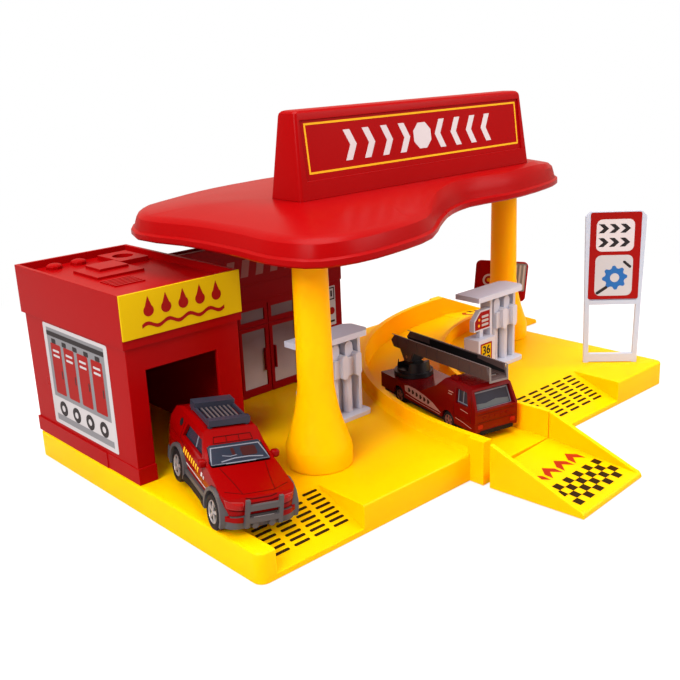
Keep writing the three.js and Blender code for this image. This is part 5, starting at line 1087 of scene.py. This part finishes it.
# Ladder truck: dark red enamel body, black chassis and glossy black turntable. The cab has
# pale-edged windows; pale prints run along its sides.
dark_red_enamel = surface(
    "dark_red_enamel", (0.1179, 0.00071, 0.0014), 0.18, drift=0.05, coat=0.04, shine=0.1429
)
black_gloss = surface("black_gloss", (0.0071, 0.0071, 0.0086), 0.32, drift=0.2, shine=0.22)
dress("truck_body", dark_red_enamel, edge=0.0004)
dress("truck_chassis", black_plastic, edge=0.0002)
dress("truck_windows", smoked_plastic, edge=0.0002)
dress("truck_turntable", black_gloss, edge=0.0003)
truck_line = surface("truck_line", (0.05, 0.00071, 0.0014), 0.3, drift=0.1)
swoosh_pink = surface("swoosh_pink", (0.3571, 0.1929, 0.1571), 0.3, drift=0.06)
dash_grey = surface("dash_grey", (0.075, 0.095, 0.1), 0.3, drift=0.2, shine=0.3)
cab_front = plane_at(truck_frame, (21.2, 0, 0), (0, 1, 0))
cab_screen = plane_at(truck_frame, (21.2, 0, 14.9), (0, 1, 0), (-4, 0, 8.99))
cab_slope = plane_at(truck_frame, (-22.2, 0, 12.6), (0, -1, 0), (0.885, 0, 0.467))
cab_roof = plane_at(truck_frame, (0, 0, 25.6), up=(0, 1, 0))
screen_edge = stroke([(-10.2, 0.8), (10.2, 0.8), (9.3, 8.6), (-9.3, 8.6)], 0.6, closed=True)
dashboard = [[(-9.4, 1.3), (9.4, 1.3), (9.2, 3.4), (2.0, 4.2), (-4.0, 3.2), (-9.2, 3.6)]]
front_lines = strokes(0.3, *([(-10.8, z), (10.8, z)] for z in (13.4, 9.4)))
front_bars = [bar(-6.6 + 3.3 * place, 11.4, 2.2, 1.3, 0.3) for place in range(5)]
headlamps = [bar(hand * 9.4, 7.4, 2.8, 2.0, 0.5) for hand in (-1, 1)]
slope_ribs = strokes(0.4, *([(-9.6, v), (9.6, v)] for v in (2.6, 5.6, 8.6)))
roof_lines = stroke([(6.4, -8.6), (14.6, -8.6), (14.6, 8.6), (6.4, 8.6)], 0.28, closed=True)
lay(
    "truck", ("screen_edge", "windows", cab_screen, screen_edge, pale_edge, 0.12, 2),
    ("dashboard", "windows", cab_screen, dashboard, dash_grey, 0.08, 2),
    ("front_lines", "body", cab_front, front_lines, truck_line, 0.08, 2),
    ("front_bars", "body", cab_front, front_bars, dark_red_enamel, 0.25, 2),
    ("headlamps", "body", cab_front, headlamps, lens_red, 0.2, 2),
    ("slope_ribs", "body", cab_slope, slope_ribs, truck_line, 0.1, 2),
    ("roof_lines", "body", cab_roof, roof_lines, truck_line, 0.08, 2),
)
flat(
    "truck_bumper", cab_front, [bar(0, 4.4, 19.0, 1.9, 0.6)], black_plastic, "truck",
    low=-2.0, high=0.35,
)
roof_boxes = [bar(1.6, hand * 8.2, 5.2, 2.6, 0.8) for hand in (-1, 1)]
flat("truck_roof_box", cab_roof, roof_boxes, dark_red_enamel, "truck", low=-1.2, high=0.7)
swoosh = [[(-36.0, 8.6), (-36.3, 11.4), (-33.0, 12.2), (-27.0, 12.3), (-19.0, 11.3),
           (-12.0, 9.6), (-5.4, 6.5), (-13.0, 6.8), (-21.0, 7.0), (-29.0, 7.5)]]
darts = []
for place in range(6):
    x = -33.0 + 3.3 * place
    z = 10.1 - 0.24 * place
    darts.append([(x, z - 1.1), (x + 1.1, z - 1.1), (x + 2.1, z), (x + 1.1, z + 1.1),
                  (x, z + 1.1), (x + 1.0, z)])
lines = strokes(
    0.26, [(-35.4, 6.8), (-26.0, 6.1), (-6.4, 5.5)], [(6.2, 8.0), (12.0, 7.4), (18.2, 6.4)]
)
lines += stroke([(10.2, 13.5), (15.6, 13.0)], 0.3)
lines += strokes(0.4, [(0.4, 19.6), (4.0, 19.6)], [(0.4, 18.4), (3.2, 18.4)])
seams = stroke([(17.4, 24.4), (18.2, 15.0), (17.6, 8.8), (4.6, 8.8), (5.0, 24.0)], 0.22)
window_edge = stroke([(15.2, 15.9), (14.1, 22.2), (6.5, 22.2), (6.5, 15.9)], 0.5, closed=True)
window_edge += stroke([(10.2, 15.9), (10.2, 22.2)], 0.5)
lay_sides(
    "truck", truck_frame, 12.2,
    (("swoosh", "body", swoosh, swoosh_pink, 0.1, 2), ("darts", "body", darts, brown_ink, 0.16, 1)),
    (("lines", "body", lines, swoosh_pink, 0.12, 2),
     ("door_seams", "body", seams, truck_line, 0.06, 2),
     ("window_edge", "windows", window_edge, pale_edge, 0.12, 2)),
)

# Turntable bolts and ladder: eight bolt heads on the black plate, and a brown-grey ladder
# with a rib at each rung, painted shade in black on its rails' inner sides, painted highlights
# on the rail and rung tops and a grey lip.
bolt_profile = [(0, -0.1), (0.45, -0.1), (0.45, 0.2), (0.3, 0.35), (0, 0.4)]
bolt_ring, plate_top, turntable_x = 9.5, 15.0, -46
for place in range(8):
    turn = tau * (place + 0.5) / 8
    bolt_seat = (turntable_x + bolt_ring * cos(turn), bolt_ring * sin(turn), plate_top)
    turned(
        f"turntable_bolt_{place + 1}", plane_at(truck_frame, bolt_seat, up=(0, 1, 0)),
        bolt_profile, black_gloss, "turntable", steps=12,
    )
ladder_plastic = surface("ladder_plastic", (0.062, 0.041, 0.039), 0.36, drift=0.12, shine=0.2857)
# The paler greys: the tip lip's own grey, also used as painted highlight on the rung tops, and a
# painted highlight for the rail tops.
ladder_pale_and_highlight = surface("ladder_pale_and_highlight", (0.1714, 0.1607, 0.1571), 0.36, drift=0.1)
ladder_rail_highlight = surface("ladder_rail_highlight", (0.11, 0.088, 0.085), 0.36, drift=0.1)
dress("truck_ladder", ladder_plastic, edge=0.0002)
dress("truck_ladder_pin", steel, edge=0)
pin_height = 22.36
arm_frame = (
    truck_frame @ Matrix.Translation((turntable_x, 0, pin_height))
    @ Matrix.Rotation(radians(-2.4), 4, "Y")
)
rail_middle, rail_height = 28.3, 7.0
# Each side: ribs, and black painted shade on the inner side of the rail.
for hand, side_name in hands:
    ribs = [bar(-hand * (-6.0 + 8.6 * place), rail_height, 0.5, 5.6, 0.2) for place in range(9)]
    flat(
        f"ladder_{side_name}_ribs", plane_at(arm_frame, (0, hand * 5.4, 0), (-hand, 0, 0)),
        ribs, ladder_plastic, "ladder", high=0.18,
    )
    laid(
        f"ladder_{side_name}_inner_painted_shade", "truck_ladder",
        plane_at(arm_frame, (0, hand * 4.4, 0), (hand, 0, 0)),
        [bar(hand * rail_middle, rail_height, 79.0, 5.4, 0.3)], painted_shade_black, "ladder",
        lift=0.05, reach=3.0,
    )
rails = [bar(rail_middle, hand * 4.9, 80.4, 0.7, 0.2) for hand in (-1, 1)]
rungs = [bar(66.6 - 4.3 * place, 0, 1.1, 8.2, 0.3) for place in range(17)]
lip = [(-5.3, 2.9), (5.3, 2.9), (5.3, 10.1), (4.5, 10.1), (4.5, 3.8), (-4.5, 3.8), (-4.5, 10.1),
       (-5.3, 10.1)]
rail_tops = plane_at(arm_frame, (0, 0, 10.2), up=(0, 1, 0))
rung_tops = plane_at(arm_frame, (0, 0, 3.8), up=(0, 1, 0))
ladder_tip = plane_at(arm_frame, (68.8, 0, 0), (0, 1, 0))
# Painted highlights on the rail and rung tops; the lip is the tip's own grey.
flat("ladder_rail_top_highlights", rail_tops, rails, ladder_rail_highlight, "ladder", high=0.05)
flat("ladder_rung_top_highlights", rung_tops, rungs, ladder_pale_and_highlight, "ladder", high=0.25)
flat("ladder_tip_lip", ladder_tip, [lip], ladder_pale_and_highlight, "ladder", low=-0.2, high=0.3)

# The two boxes, to compare the dressed toy with its frame.
low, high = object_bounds()
{"cad": [list(cad_low), list(cad_high)], "visual": [list(low), list(high)]}
